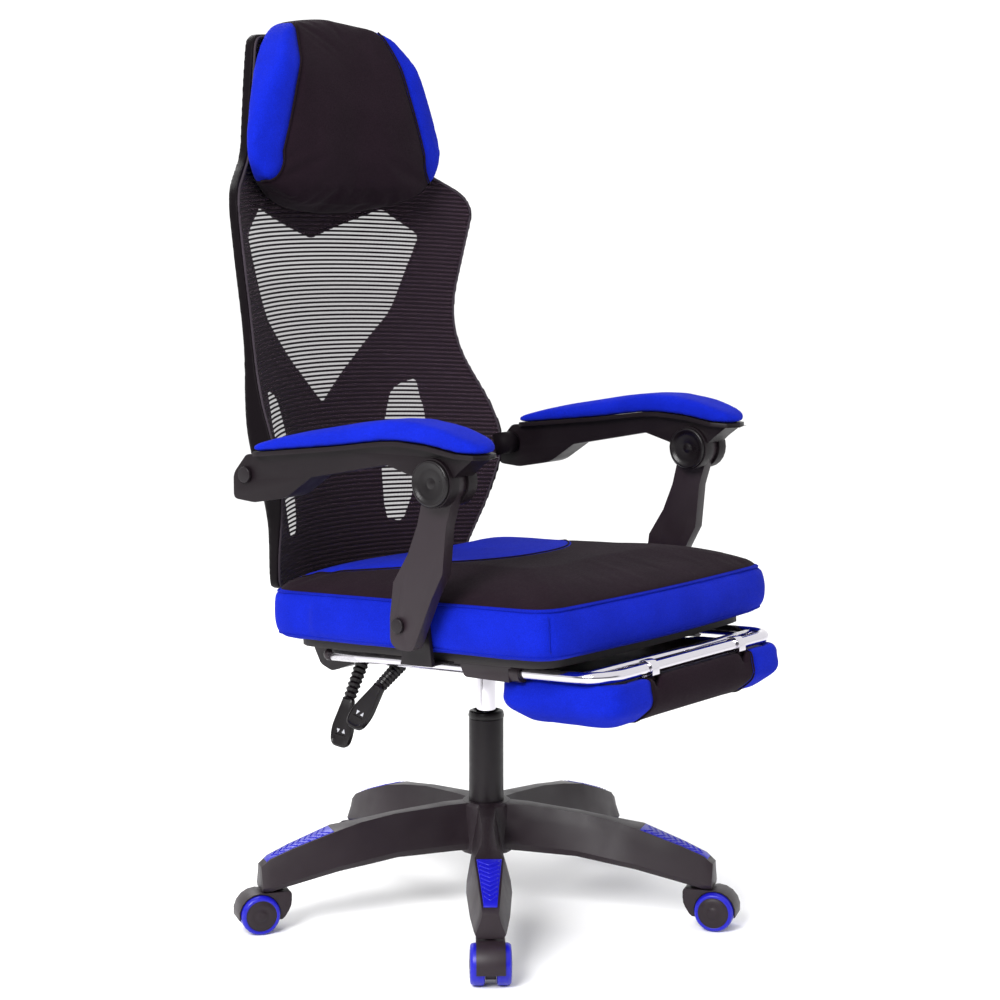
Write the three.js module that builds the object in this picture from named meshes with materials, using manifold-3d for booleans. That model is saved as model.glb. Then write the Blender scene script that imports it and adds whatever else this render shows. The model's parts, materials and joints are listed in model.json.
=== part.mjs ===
// Reclining gaming chair with a mesh back, linked armrests, a slide-out footrest and a gas lift.
// Millimetres, +Z up. The chair faces -Y. The origin is the middle of the footprint, on the floor.
import * as THREE from 'three';
import { mergeVertices } from 'three/addons/utils/BufferGeometryUtils.js';
import Module from 'manifold-3d';

const wasm = await Module();
wasm.setup();

// ---------------------------------------------------------------- driving dimensions
const GAP = 0.3;                      // clearance between touching pieces
const RUN = 0.35;                     // clearance of a turning or sliding fit
const COLUMN = [-20, 4.5];            // gas lift axis, seen from the middle of the footprint
const FLOOR = 5;                      // heights below are written from 5 mm under the floor

const ARM_COUNT = 5;
const FIRST_ARM_ANGLE = -50.7;        // degrees from -Y towards +X
const STEM_RADIUS = 310;              // caster swivel axis, from the column
const HUB_TOP = 164;
const HUB_BOTTOM = 91;
// arm stations: distance from the column, half width on top and below, height of top and underside
const ARM_STATIONS = [
  [18, 11.5, 20, 164, 97], [60, 11.5, 21, 163, 97], [140, 8, 26, 156.5, 97], [190, 10, 30, 149, 91],
  [228, 19.5, 31, 142, 86], [290, 15, 26.5, 121, 72], [321, 12.5, 22, 108.5, 64.5],
  [334, 10.5, 20, 98, 64.5],
];
const TRIM_START = 231;
const TRIM_END = 326;

const WHEEL_RADIUS = 27.5;
const WHEEL_TRAIL = 28;               // wheel axle behind the swivel axis
const WHEEL_INNER = 7.8;              // wheel faces, from the middle of the caster
const WHEEL_OUTER = 27.5;
const HOOD_HALF = 19;
const WEB_HALF = 7;
const HOOD_TOP = 57;

const TUBE_RADIUS = 25;
const TUBE_TOP = 284;
const PISTON_RADIUS = 14;
const PISTON_TOP = 376;

const SEAT_TILT = THREE.MathUtils.degToRad(2.6);
const SEAT_BASE = 423;                // underside of the cushion above the column axis
const SEAT = { frontHalf: 265, rearHalf: 252, front: -318, rear: 195, frontCorner: 40, rearCorner: 50 };
const BOARD = 12;
const TUBE_DROP = -24;                // footrest tube below the underside of the cushion
const LEG_X = 207;
const FOOT_TUBE = 8;
const FOOT_FRONT = -351;

const RECLINE = [235, 459];           // recline axis, Y and Z
const POST_PIVOT = [-95, 470];
const KNUCKLE = [-165, 661];
const REAR_PIVOT = [165, 650];
const ARM_X = 293;
const POST_HALF = 9;

const STEEL = { color: 0x17171a, roughness: 0.5, metalness: 0.6 };
const PLASTIC = { color: 0x1b191c, roughness: 0.55, metalness: 0 };
const CHROME = { color: 0xd5d7dc, roughness: 0.12, metalness: 1 };
const BLUE_FABRIC = { color: 0x1b2de0, roughness: 0.85, metalness: 0 };
const BLACK_FABRIC = { color: 0x1d1618, roughness: 0.9, metalness: 0 };
const BLUE_PLASTIC = { color: 0x3a3cc8, roughness: 0.4, metalness: 0 };
const WOOD = { color: 0x3b322c, roughness: 0.8, metalness: 0 };

// ---------------------------------------------------------------- solids
function toSolid(geometry) {
  const bare = geometry.clone();
  bare.deleteAttribute('normal');
  bare.deleteAttribute('uv');
  const merged = mergeVertices(bare, 1e-4);
  return new wasm.Manifold(new wasm.Mesh({
    numProp: 3,
    vertProperties: Float32Array.from(merged.attributes.position.array),
    triVerts: Uint32Array.from(merged.index.array),
  }));
}

function toGeometry(solid) {
  const mesh = solid.getMesh();
  const geometry = new THREE.BufferGeometry();
  geometry.setAttribute('position', new THREE.BufferAttribute(mesh.vertProperties, 3));
  geometry.setIndex(new THREE.BufferAttribute(mesh.triVerts, 1));
  return geometry;
}

function join(...pieces) {
  return toGeometry(pieces.map(toSolid).reduce((a, b) => a.add(b)));
}

function cut(piece, ...tools) {
  return toGeometry(tools.map(toSolid).reduce((a, b) => a.subtract(b), toSolid(piece)));
}

function common(a, b) {
  return toGeometry(toSolid(a).intersect(toSolid(b)));
}

// ---------------------------------------------------------------- basic shapes
const V3 = (x, y, z) => new THREE.Vector3(x, y, z);

// polygon whose corners are [x, y] or [x, y, radius]; a corner with a radius is rounded
function roundedShape(corners, steps = 5) {
  const points = [];
  corners.forEach(([x, y, radius = 0], i) => {
    const corner = new THREE.Vector2(x, y);
    if (!radius) {
      points.push(corner);
      return;
    }
    const before = new THREE.Vector2(...corners.at(i - 1).slice(0, 2)).sub(corner);
    const after = new THREE.Vector2(...corners[(i + 1) % corners.length].slice(0, 2)).sub(corner);
    const start = corner.clone().addScaledVector(before.normalize(), radius);
    const end = corner.clone().addScaledVector(after.normalize(), radius);
    points.push(...new THREE.QuadraticBezierCurve(start, corner, end).getPoints(steps));
  });
  return new THREE.Shape(points);
}

function prism(shape, depth) {
  return new THREE.ExtrudeGeometry(shape, { depth, bevelEnabled: false, curveSegments: 10 });
}

// outline in (y, z), between two values of x
function plateX(corners, x0, x1) {
  const turn = new THREE.Matrix4().makeBasis(V3(0, 1, 0), V3(0, 0, 1), V3(1, 0, 0));
  return prism(roundedShape(corners), x1 - x0).applyMatrix4(turn).translate(x0, 0, 0);
}

// outline in (x, z), between two values of y
function plateY(corners, y0, y1, steps = 5) {
  const turn = new THREE.Matrix4().makeBasis(V3(1, 0, 0), V3(0, 0, 1), V3(0, -1, 0));
  return prism(roundedShape(corners, steps), y1 - y0).applyMatrix4(turn).translate(0, y1, 0);
}

// outline in (x, y), between two heights
function plateZ(corners, z0, z1, steps = 5) {
  return prism(roundedShape(corners, steps), z1 - z0).translate(0, 0, z0);
}

function box(x0, x1, y0, y1, z0, z1) {
  const geometry = new THREE.BoxGeometry(x1 - x0, y1 - y0, z1 - z0);
  return geometry.translate((x0 + x1) / 2, (y0 + y1) / 2, (z0 + z1) / 2);
}

function rod(radius, from, to, sides = 16, endRadius = radius) {
  const axis = to.clone().sub(from);
  const geometry = new THREE.CylinderGeometry(endRadius, radius, axis.length(), sides);
  geometry.applyQuaternion(new THREE.Quaternion().setFromUnitVectors(V3(0, 1, 0), axis.normalize()));
  return geometry.translate(...from.clone().add(to).multiplyScalar(0.5).toArray());
}

// cylinder along X through the point (y, z)
function rodX(radius, [y, z], x0, x1, sides = 20) {
  return rod(radius, V3(x0, y, z), V3(x1, y, z), sides);
}

// profile of [radius, height] pairs turned about Z
function turned(profile, sides = 24) {
  const points = profile.map(([r, z]) => new THREE.Vector2(r, z));
  return new THREE.LatheGeometry(points, sides).rotateX(Math.PI / 2);
}

// skin over equal rings of points, closed by a fan at each end
function loft(rings) {
  const count = rings[0].length;
  const points = rings.flat();
  const index = [];
  for (let i = 0; i + 1 < rings.length; i += 1) {
    for (let j = 0; j < count; j += 1) {
      const a = i * count + j;
      const b = i * count + (j + 1) % count;
      index.push(a, b, b + count, a, b + count, a + count);
    }
  }
  for (const [ring, flip] of [[0, true], [rings.length - 1, false]]) {
    const centre = rings[ring].reduce((sum, p) => sum.add(p), V3(0, 0, 0)).divideScalar(count);
    points.push(centre);
    for (let j = 0; j < count; j += 1) {
      const a = ring * count + j;
      const b = ring * count + (j + 1) % count;
      index.push(points.length - 1, flip ? b : a, flip ? a : b);
    }
  }
  const geometry = new THREE.BufferGeometry().setFromPoints(points);
  geometry.setIndex(index);
  return signedVolume(geometry) < 0 ? flipped(geometry) : geometry;
}

function signedVolume(geometry) {
  const { position } = geometry.attributes;
  const corner = (i) => new THREE.Vector3().fromBufferAttribute(position, geometry.index.getX(i));
  let sum = 0;
  for (let i = 0; i < geometry.index.count; i += 3) {
    sum += corner(i).dot(corner(i + 1).cross(corner(i + 2)));
  }
  return sum;
}

function flipped(geometry) {
  const order = [...geometry.index.array];
  for (let i = 0; i < order.length; i += 3) {
    [order[i], order[i + 1]] = [order[i + 1], order[i]];
  }
  geometry.setIndex(order);
  return geometry;
}

// value read off a table of [key, value] rows by straight lines
function between(rows, key, column) {
  const last = rows.length - 1;
  const i = Math.min(Math.max(rows.findIndex((row) => row[0] >= key), 1), last);
  const share = (key - rows[i - 1][0]) / (rows[i][0] - rows[i - 1][0]);
  return THREE.MathUtils.lerp(rows[i - 1][column], rows[i][column], share);
}

// ---------------------------------------------------------------- scene
const chair = new THREE.Group();
chair.position.set(...COLUMN, -FLOOR);

const seatFrame = new THREE.Group();   // tilted with the seat; its z = 0 is the underside of the cushion
seatFrame.position.set(0, 0, SEAT_BASE);
seatFrame.rotation.x = -SEAT_TILT;
seatFrame.updateMatrix();
chair.add(seatFrame);

function add(name, geometry, look, parent = chair) {
  const mesh = new THREE.Mesh(geometry, new THREE.MeshStandardMaterial(look));
  mesh.name = name;
  parent.add(mesh);
  return mesh;
}

// ---------------------------------------------------------------- star base
function armRing([r, top, bottom, zTop, zBottom]) {
  const height = zTop - zBottom;
  const shoulder = top + 0.3 * (bottom - top);
  const half = [[0.85 * bottom, zBottom], [bottom, zBottom + 0.15 * height],
    [shoulder, zTop - 0.35 * height], [top, zTop]];
  const left = half.map(([w, z]) => V3(r, w, z));
  const right = half.map(([w, z]) => V3(r, -w, z)).reverse();
  return [...left, ...right];
}

function trimSolid(grow) {
  const stations = [TRIM_START - grow, 290, 321, TRIM_END + grow];
  const rings = stations.map((r) => {
    const share = (r - TRIM_START) / (TRIM_END - TRIM_START);
    const half = THREE.MathUtils.lerp(17, 9, share) + grow;
    const top = between(ARM_STATIONS, r, 3);
    const upper = top + 0.8 + 8 * grow;
    const lower = top - 1.8 - grow;
    return [V3(r, half, upper), V3(r, -half, upper), V3(r, -half, lower), V3(r, half, lower)];
  });
  return loft(rings);
}

function armAngle(i) {
  return THREE.MathUtils.degToRad(FIRST_ARM_ANGLE + (360 / ARM_COUNT) * i - 90);
}

function starBase() {
  const hub = turned([[0, HUB_BOTTOM], [37, HUB_BOTTOM], [39, HUB_BOTTOM + 6], [37, HUB_TOP - 4],
    [34, HUB_TOP], [0, HUB_TOP]], 20);
  const pieces = [hub];
  const holes = [turned([[0, 80], [TUBE_RADIUS + GAP, 80], [TUBE_RADIUS + GAP, 170], [0, 170]], 24)];
  for (let i = 0; i < ARM_COUNT; i += 1) {
    const arm = loft(ARM_STATIONS.map(armRing));
    const socket = rod(5.3 + RUN, V3(STEM_RADIUS, 0, 50), V3(STEM_RADIUS, 0, 90), 10);
    pieces.push(arm.rotateZ(armAngle(i)));
    holes.push(trimSolid(GAP).rotateZ(armAngle(i)), socket.rotateZ(armAngle(i)));
  }
  return cut(join(...pieces), ...holes);
}

// ---------------------------------------------------------------- casters
function casterHood() {
  const u = WHEEL_TRAIL;
  const block = plateY([[-17, HOOD_TOP, 4], [u, HOOD_TOP], [u, 24], [-4, 17, 6], [-17, 37, 8]],
    -HOOD_HALF, HOOD_HALF, 2);
  const turnedAxle = (radius, half, sides) => rod(radius, V3(u, -half, WHEEL_RADIUS),
    V3(u, half, WHEEL_RADIUS), sides);
  const fender = cut(turnedAxle(30.4, HOOD_HALF, 18), box(-20, 70, -30, 30, -10, 21));
  const web = turnedAxle(20, WEB_HALF, 14);
  const wheelSpace = (side) => rod(28.7, V3(u, side * (WEB_HALF + 0.2), WHEEL_RADIUS),
    V3(u, side * 40, WHEEL_RADIUS), 18);
  const body = cut(join(block, fender, web), wheelSpace(1), wheelSpace(-1),
    rod(5.3 + RUN, V3(0, 0, 34), V3(0, 0, 70), 10));
  return join(body, turnedAxle(4, 23, 8));
}

function casterStem() {
  const flange = HOOD_TOP + GAP;
  return turned([[0, 35], [5.3, 35], [5.3, flange], [9, flange], [9, flange + 1.9], [5.3, flange + 1.9],
    [5.3, 84], [0, 84]], 10);
}

function casterWheel() {
  const rim = WHEEL_RADIUS / Math.cos(Math.PI / 16);
  const profile = [[0, WHEEL_OUTER - 1], [18, WHEEL_OUTER], [25, WHEEL_OUTER],
    [rim, WHEEL_OUTER - 4], [rim, WHEEL_INNER], [4 + RUN, WHEEL_INNER], [4 + RUN, 23.6], [0, 23.6]];
  return turned(profile.reverse(), 16).rotateX(-Math.PI / 2).rotateY(Math.PI / 16);
}

function buildBase() {
  add('star_base', starBase(), PLASTIC);
  for (let i = 0; i < ARM_COUNT; i += 1) {
    const n = i + 1;
    add(`base_trim_${n}`, trimSolid(0), BLUE_PLASTIC).rotation.z = armAngle(i);
    const caster = new THREE.Group();
    caster.rotation.z = armAngle(i);
    caster.position.set(STEM_RADIUS * Math.cos(armAngle(i)), STEM_RADIUS * Math.sin(armAngle(i)), FLOOR);
    chair.add(caster);
    add(`caster_hood_${n}`, casterHood(), PLASTIC, caster);
    add(`caster_stem_${n}`, casterStem(), STEEL, caster);
    for (const [side, turn] of [['a', 0], ['b', Math.PI]]) {
      const wheel = add(`caster_wheel_${n}${side}`, casterWheel(), BLUE_PLASTIC, caster);
      wheel.position.set(WHEEL_TRAIL, 0, WHEEL_RADIUS);
      wheel.rotation.z = turn;
    }
  }
}

// ---------------------------------------------------------------- gas lift
function buildGasLift() {
  const tube = turned([[0, 92], [TUBE_RADIUS, 92], [TUBE_RADIUS, TUBE_TOP], [21.7, TUBE_TOP], [21.7, 98],
    [0, 98]], 24);
  const bush = turned([[PISTON_RADIUS + RUN, 250], [21.4, 250], [21.4, TUBE_TOP + GAP],
    [25.4, TUBE_TOP + GAP], [26, TUBE_TOP + 4], [24.5, 294], [20, 295.5], [PISTON_RADIUS + RUN, 291],
    [PISTON_RADIUS + RUN, 250]], 20);
  const cylinder = turned([[0, 186], [PISTON_RADIUS, 186], [PISTON_RADIUS, PISTON_TOP],
    [4 + RUN, PISTON_TOP], [4 + RUN, 364], [0, 364]], 20);
  const button = turned([[0, 369], [4, 369], [4, 380.5], [3, 381.5], [0, 381.5]], 12);
  add('gas_tube', tube, STEEL);
  add('tube_bush', bush, PLASTIC);
  add('gas_cylinder', cylinder, CHROME);
  add('valve_button', button, STEEL);
}

// ---------------------------------------------------------------- seat
function seatCorners(inset) {
  const { frontHalf, rearHalf, front, rear, frontCorner, rearCorner } = SEAT;
  const yFront = front + inset;
  const yRear = rear - inset;
  return [[-rearHalf + inset, yRear, rearCorner], [-frontHalf + inset, yFront + 8, frontCorner],
    [0, yFront - 8, 120], [frontHalf - inset, yFront + 8, frontCorner], [rearHalf - inset, yRear, rearCorner]];
}

function seatRing(inset, z) {
  return roundedShape(seatCorners(inset), 3).getPoints().map((p) => V3(p.x, p.y, z));
}

function seatCushion() {
  return loft([seatRing(8, GAP), seatRing(0, 10), seatRing(0, 64), seatRing(10, 74), seatRing(42, 82)]);
}

// box section under the seat with the socket for the gas cylinder, open at the top
function mechanismHousing() {
  const toSeat = seatFrame.matrix.clone().invert();
  const shell = plateZ([[-80, -120, 12], [80, -120, 12], [80, 90, 12], [-80, 90, 12]], -50, -BOARD - GAP, 2);
  const pocket = plateZ([[-75, -115, 8], [75, -115, 8], [75, 85, 8], [-75, 85, 8]], -45, 0, 2);
  const socket = rod(PISTON_RADIUS + GAP, V3(0, 0, 360), V3(0, 0, 400), 24).applyMatrix4(toSeat);
  const slots = [[9, 9], [73, 9]].map(([y, half]) => box(-90, -70, y - half, y + half, -48, -24));
  return cut(shell, pocket, socket, ...slots);
}

function footrestGuide(side) {
  const x = side * LEG_X;
  const flange = box(x - 16, x + 16, -216, -122, -17, -BOARD - GAP);
  const block = plateX([[-210, -14], [-128, -14], [-136, -34, 6], [-210, -36]], x - 13, x + 13);
  const collar = rod(13, V3(x, -224, TUBE_DROP), V3(x, -206, TUBE_DROP), 16);
  const trimmed = cut(collar, box(x - 20, x + 20, -230, -200, -BOARD - GAP, 10));
  return cut(join(flange, block, trimmed),
    rod(FOOT_TUBE + RUN, V3(x, -240, TUBE_DROP), V3(x, -100, TUBE_DROP), 16));
}

function armBracket(side) {
  const tongue = box(170, 268, -120, -68, -BOARD - 3.3, -BOARD - GAP).applyMatrix4(seatFrame.matrix);
  const plate = plateX([[-122, 413.2], [-69, 410.8], [-78, 490, 12], [-112, 490, 12]], 262, 268);
  const boss = rodX(15, POST_PIVOT, 266, ARM_X - POST_HALF - GAP, 16);
  const bracket = cut(join(tongue, plate, boss), rodX(6 + RUN, POST_PIVOT, 250, 300, 12));
  return side > 0 ? bracket : mirrored(bracket);
}

function mirrored(geometry) {
  return flipped(join(geometry).scale(-1, 1, 1));
}

// pressed steel yoke that carries the recline pin behind the cushion
function rearSupport() {
  const outline = [[93, 405], [199, 400.5], [217, 440], [219, 475, 12], [250, 475, 12], [250, 448], [240, 372],
    [228, 350, 6], [206, 342, 6], [171, 355], [93, 379]];
  const cheeks = [-1, 1].map((side) => plateX(outline, side > 0 ? 92 : -100, side > 0 ? 100 : -92));
  const upper = plateX([[93, 404.5], [180, 400.4], [180, 395], [93, 399]], -93, 93);
  const lower = plateX([[93, 378], [171, 356.5], [205, 343], [207, 348], [172, 361.5], [93, 383]], -93, 93);
  return cut(join(...cheeks, upper, lower), rodX(8 + GAP, RECLINE, -110, 110, 16));
}

function reclinePin() {
  return join(rodX(8, RECLINE, -104, 104, 16), rodX(12, RECLINE, -107, -101, 16),
    rodX(12, RECLINE, 101, 107, 16));
}

function boltX(side, [y, z], shank, head, x0, x1, headAt) {
  const geometry = join(rodX(shank, [y, z], x0, x1, 12), rodX(head, [y, z], headAt, headAt + 5, 12));
  return side > 0 ? geometry : mirrored(geometry);
}

// steel rod, rubber bellows and flat paddle
function lever(rodPoints, stemEnd, tip) {
  const [inner, pivot, outer] = rodPoints;
  const barrel = rod(6, pivot.clone().add(V3(0, -8, 0)), pivot.clone().add(V3(0, 8, 0)), 10);
  const along = tip.clone().sub(stemEnd);
  const length = along.length();
  along.normalize();
  const across = V3(0, 1, 0).addScaledVector(along, -along.y).normalize();
  const frame = new THREE.Matrix4().makeBasis(across, along, across.clone().cross(along));
  const paddle = prism(roundedShape([[-9, -4, 4], [-21, 0.7 * length, 11], [-13, length, 8],
    [13, length, 8], [21, 0.7 * length, 11], [9, -4, 4]], 4), 10).translate(0, 0, -5);
  paddle.applyMatrix4(frame).translate(...stemEnd.toArray());
  return join(rod(4, inner, outer, 8), barrel, rod(9, outer, stemEnd, 12, 8), paddle);
}

function buildSeat() {
  add('mechanism_housing', mechanismHousing(), STEEL, seatFrame);
  add('seat_board', plateZ(seatCorners(26), -BOARD, 0, 4), WOOD, seatFrame);
  add('seat_cushion', seatCushion(), BLACK_FABRIC, seatFrame);
  add('rear_support', rearSupport(), STEEL);
  add('recline_pin', reclinePin(), CHROME);
  add('height_lever', lever([V3(6, 0, 386), V3(-30, 4, 386), V3(-166, 20, 383)], V3(-211, 19, 359),
    V3(-247, 36, 307)), PLASTIC);
  add('recline_lever', lever([V3(-12, 64, 385), V3(-30, 66, 385), V3(-168, 86, 382)], V3(-200, 84, 332),
    V3(-214, 90, 267)), PLASTIC);
  for (const [name, side] of [['left', -1], ['right', 1]]) {
    add(`footrest_guide_${name}`, footrestGuide(side), PLASTIC, seatFrame);
    add(`arm_bracket_${name}`, armBracket(side), STEEL);
    add(`arm_lower_bolt_${name}`, boltX(side, POST_PIVOT, 6, 10, 262, 304, ARM_X + POST_HALF + GAP), STEEL);
  }
}

// ---------------------------------------------------------------- footrest
class FootrestPath extends THREE.CurvePath {
  constructor(rear) {
    super();
    const radius = 42;
    const [x, y] = [LEG_X, FOOT_FRONT];
    this.add(new THREE.LineCurve3(V3(-x, rear, 0), V3(-x, y + radius, 0)));
    this.add(new THREE.QuadraticBezierCurve3(V3(-x, y + radius, 0), V3(-x, y, 0), V3(-x + radius, y, 0)));
    this.add(new THREE.LineCurve3(V3(-x + radius, y, 0), V3(x - radius, y, 0)));
    this.add(new THREE.QuadraticBezierCurve3(V3(x - radius, y, 0), V3(x, y, 0), V3(x, y + radius, 0)));
    this.add(new THREE.LineCurve3(V3(x, y + radius, 0), V3(x, rear, 0)));
  }
}

function footrestFrame() {
  const section = new THREE.Shape().absarc(0, 0, FOOT_TUBE, 0, 2 * Math.PI);
  const tube = new THREE.ExtrudeGeometry(section, {
    steps: 30, curveSegments: 5, bevelEnabled: false, extrudePath: new FootrestPath(113),
  });
  const bar = rod(6, V3(-LEG_X, FOOT_FRONT + 36, 0), V3(LEG_X, FOOT_FRONT + 36, 0), 12);
  return join(tube, bar).translate(0, 0, TUBE_DROP);
}

function footrestBoardPlate(grow, z0, z1) {
  const [x, front, rear] = [180 + grow, -353 - grow, -188 + grow];
  return plateZ([[-x, rear, 18], [-x, front, 14], [x, front, 14], [x, rear, 18]], z0, z1, 3);
}

function footrestBoard() {
  const z = TUBE_DROP;
  const board = footrestBoardPlate(0, z - 20, z - 12);
  const clips = [-1, 1].map((side) => {
    const x = side * 105;
    return plateX([[-352, z - 14], [-362, z - 8], [-362, z + 5, 6], [-353, z + 12, 4], [-341, z + 11, 5],
      [-338, z - 14]], x - 8, x + 8);
  });
  return cut(join(board, ...clips), rod(FOOT_TUBE + RUN, V3(-150, FOOT_FRONT, z), V3(150, FOOT_FRONT, z), 16));
}

// the cushion is hollowed for the board, so its cover reaches up to the tube all round
function footrestPad() {
  const top = TUBE_DROP - 9;
  const ring = (insetX, insetY, z) => roundedShape([[-205 + insetX, -172 - insetY, 34],
    [-205 + insetX, -368 + insetY, 26], [205 - insetX, -368 + insetY, 26],
    [205 - insetX, -172 - insetY, 34]], 3).getPoints().map((p) => V3(p.x, p.y, z));
  const body = loft([ring(4, 4, top), ring(0, 0, top - 9), ring(3, 4, top - 36), ring(26, 30, top - 56)]);
  const clipSpace = [-1, 1].map((side) => box(side * 105 - 9, side * 105 + 9, -364, -330, top - 20, top + 10));
  const guideSpace = [-1, 1].map((side) => box(side * 207 - 18, side * 207 + 18, -230, -150, top - 5, top + 10));
  return cut(body, footrestBoardPlate(GAP, TUBE_DROP - 20 - GAP, 0), ...clipSpace, ...guideSpace);
}

function buildFootrest() {
  add('footrest_frame', footrestFrame(), CHROME, seatFrame);
  add('footrest_board', footrestBoard(), PLASTIC, seatFrame);
  add('footrest_pad', footrestPad(), BLUE_FABRIC, seatFrame);
}

// ---------------------------------------------------------------- back
const BACK_OUTLINE = [[0, 462], [150, 465, 30], [207, 478, 14], [225, 531, 20], [259, 684, 30], [217, 834, 30],
  [262, 1022, 26], [176, 1080, 20], [134, 1252, 18], [0, 1264]];

function spine(z) {
  return 341 - 66 * (Math.max(0, 1260 - z) / 820) ** 1.5;
}

function wrap(z) {
  return 0.0015 + 0.00065 * Math.exp(-(((z - 625) / 120) ** 2));
}

function backSurface(x, z) {
  return spine(z) - wrap(z) * x * x;
}

// the rim is deepest beside the hips
function rimDepth(x, z) {
  return 16 + 29 * Math.exp(-(((z - 670) / 85) ** 2));
}

function mirrorOutline(half) {
  const left = half.filter(([x]) => x > 0).map(([x, z, r = 0]) => [-x, z, r]).reverse();
  return [...half, ...left];
}

// outline moved inwards by a fixed distance
function insetOutline(half, distance) {
  return half.map(([x, z, r = 0], i) => {
    const a = half[Math.max(i - 1, 0)];
    const b = half[Math.min(i + 1, half.length - 1)];
    const direction = new THREE.Vector2(b[0] - a[0], b[1] - a[1]).normalize();
    const nx = x === 0 ? 0 : -direction.y;
    const nz = x === 0 ? Math.sign(864 - z) : direction.x;
    return [x + nx * distance, z + nz * distance, r];
  });
}

function curvedSlab(front, rear) {
  const slab = new THREE.BoxGeometry(560, 2, 840, 8, 1, 12).translate(0, 0, 865);
  const { position } = slab.attributes;
  for (let i = 0; i < position.count; i += 1) {
    const [x, y, z] = [position.getX(i), position.getY(i), position.getZ(i)];
    position.setY(i, backSurface(x, z) + (y < 0 ? front(x, z) : rear(x, z)));
  }
  return slab;
}

function backWindows() {
  const shield = plateY([[0, 722, 4], [137, 854, 14], [187, 969, 8], [134, 1008, 6], [0, 964, 6],
    [-134, 1008, 6], [-187, 969, 8], [-137, 854, 14]], 150, 420, 1);
  const lower = [[100, 539, 6], [126, 536, 6], [147, 595, 10], [168, 692, 10], [164, 751, 4], [126, 738, 8],
    [111, 694, 10], [96, 618, 20]];
  const left = lower.map(([x, z, r]) => [-x, z, r]).reverse();
  return [shield, plateY(lower, 120, 420, 1), plateY(left, 120, 420, 1)];
}

function backShell() {
  const outline = plateY(mirrorOutline(BACK_OUTLINE), 80, 420, 2);
  const inner = plateY(mirrorOutline(insetOutline(BACK_OUTLINE, 15)), 70, 430, 2);
  const rim = common(curvedSlab(() => -4, rimDepth), cut(outline, inner));
  const panel = common(curvedSlab(() => 3, () => 9), outline);
  const ears = [-1, 1].map((side) => rodX(17, REAR_PIVOT, side > 0 ? 240 : -(ARM_X - 20.5),
    side > 0 ? ARM_X - 20.5 : -240, 16));
  const body = cut(join(rim, panel, ...ears), ...backWindows(),
    rodX(7 + GAP, REAR_PIVOT, 246, 300, 12), rodX(7 + GAP, REAR_PIVOT, -300, -246, 12));
  return body;
}

function backMesh() {
  const outline = plateY(mirrorOutline(insetOutline(BACK_OUTLINE, 22)), 80, 420, 2);
  return common(curvedSlab(() => -3, () => -1), outline);
}

function headrest() {
  const outline = [[0, 1001], [110, 1010, 30], [186, 1046, 26], [211, 1092, 26], [166, 1198, 40],
    [108, 1270, 30], [0, 1284]];
  const crown = (x, z) => {
    const ease = 1 - 0.45 * Math.max(0, (Math.abs(z - 1130) - 70) / 80) ** 2;
    return -16 - 72 * ease * Math.max(0, 1 - Math.abs(x / 215) ** 3);
  };
  return common(curvedSlab(crown, () => -7), plateY(mirrorOutline(outline), 80, 420, 3));
}

function backHinge() {
  const lug = [[235, 444, 8], [292, 446], [292, 461.2], [252, 461.2], [240, 473, 6], [221, 471, 6], [221, 448, 6]];
  const lugs = [plateX(lug, 70, 91.6), plateX(lug, -91.6, -70)];
  const plate = plateX([[256, 448], [292, 446], [292, 461.2], [256, 461.2]], -80, 80);
  return cut(join(...lugs, plate), rodX(8 + RUN, RECLINE, -110, 110, 16));
}

function buildBack() {
  add('back_shell', backShell(), PLASTIC);
  add('back_mesh', backMesh(), BLACK_FABRIC);
  add('headrest', headrest(), BLACK_FABRIC);
  add('back_hinge', backHinge(), STEEL);
  for (const [name, side] of [['left', -1], ['right', 1]]) {
    add(`arm_rear_bolt_${name}`, boltX(side, REAR_PIVOT, 7, 11, 250, 316, ARM_X + 20.5), STEEL);
  }
}

// ---------------------------------------------------------------- armrests
const PAD_SEAT = [[150, 682], [133, 683], [0, 698], [-80, 709], [-110, 711], [-160, 708], [-205, 701],
  [-237, 699]];
const PAD_HALF = 32;

// outline of the arm pad seen from above
function padPlan(inset) {
  const [inner, outer] = [ARM_X - PAD_HALF + inset, ARM_X + PAD_HALF - inset];
  return plateZ([[inner, 150 - inset, 14], [inner, -238 + inset, 30], [outer, -238 + inset, 30],
    [outer, 150 - inset, 14]], 600, 800, 2);
}

function armPost() {
  const [y, z] = KNUCKLE;
  const blade = plateX([[y + 24, z], [-127, 604], [-111, 565], [-86, 526], [-80, 480], [-80, 446, 8],
    [-92, 438, 5], [-118, 438, 8], [-150, 510], [-168, 543], [-174, 606], [y - 26, z]],
  ARM_X - POST_HALF, ARM_X + POST_HALF);
  const head = rodX(28, KNUCKLE, ARM_X - POST_HALF, ARM_X + POST_HALF, 24);
  return cut(join(blade, head), rodX(8 + RUN, KNUCKLE, 270, 320, 16), rodX(6 + RUN, POST_PIVOT, 270, 320, 12));
}

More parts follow.
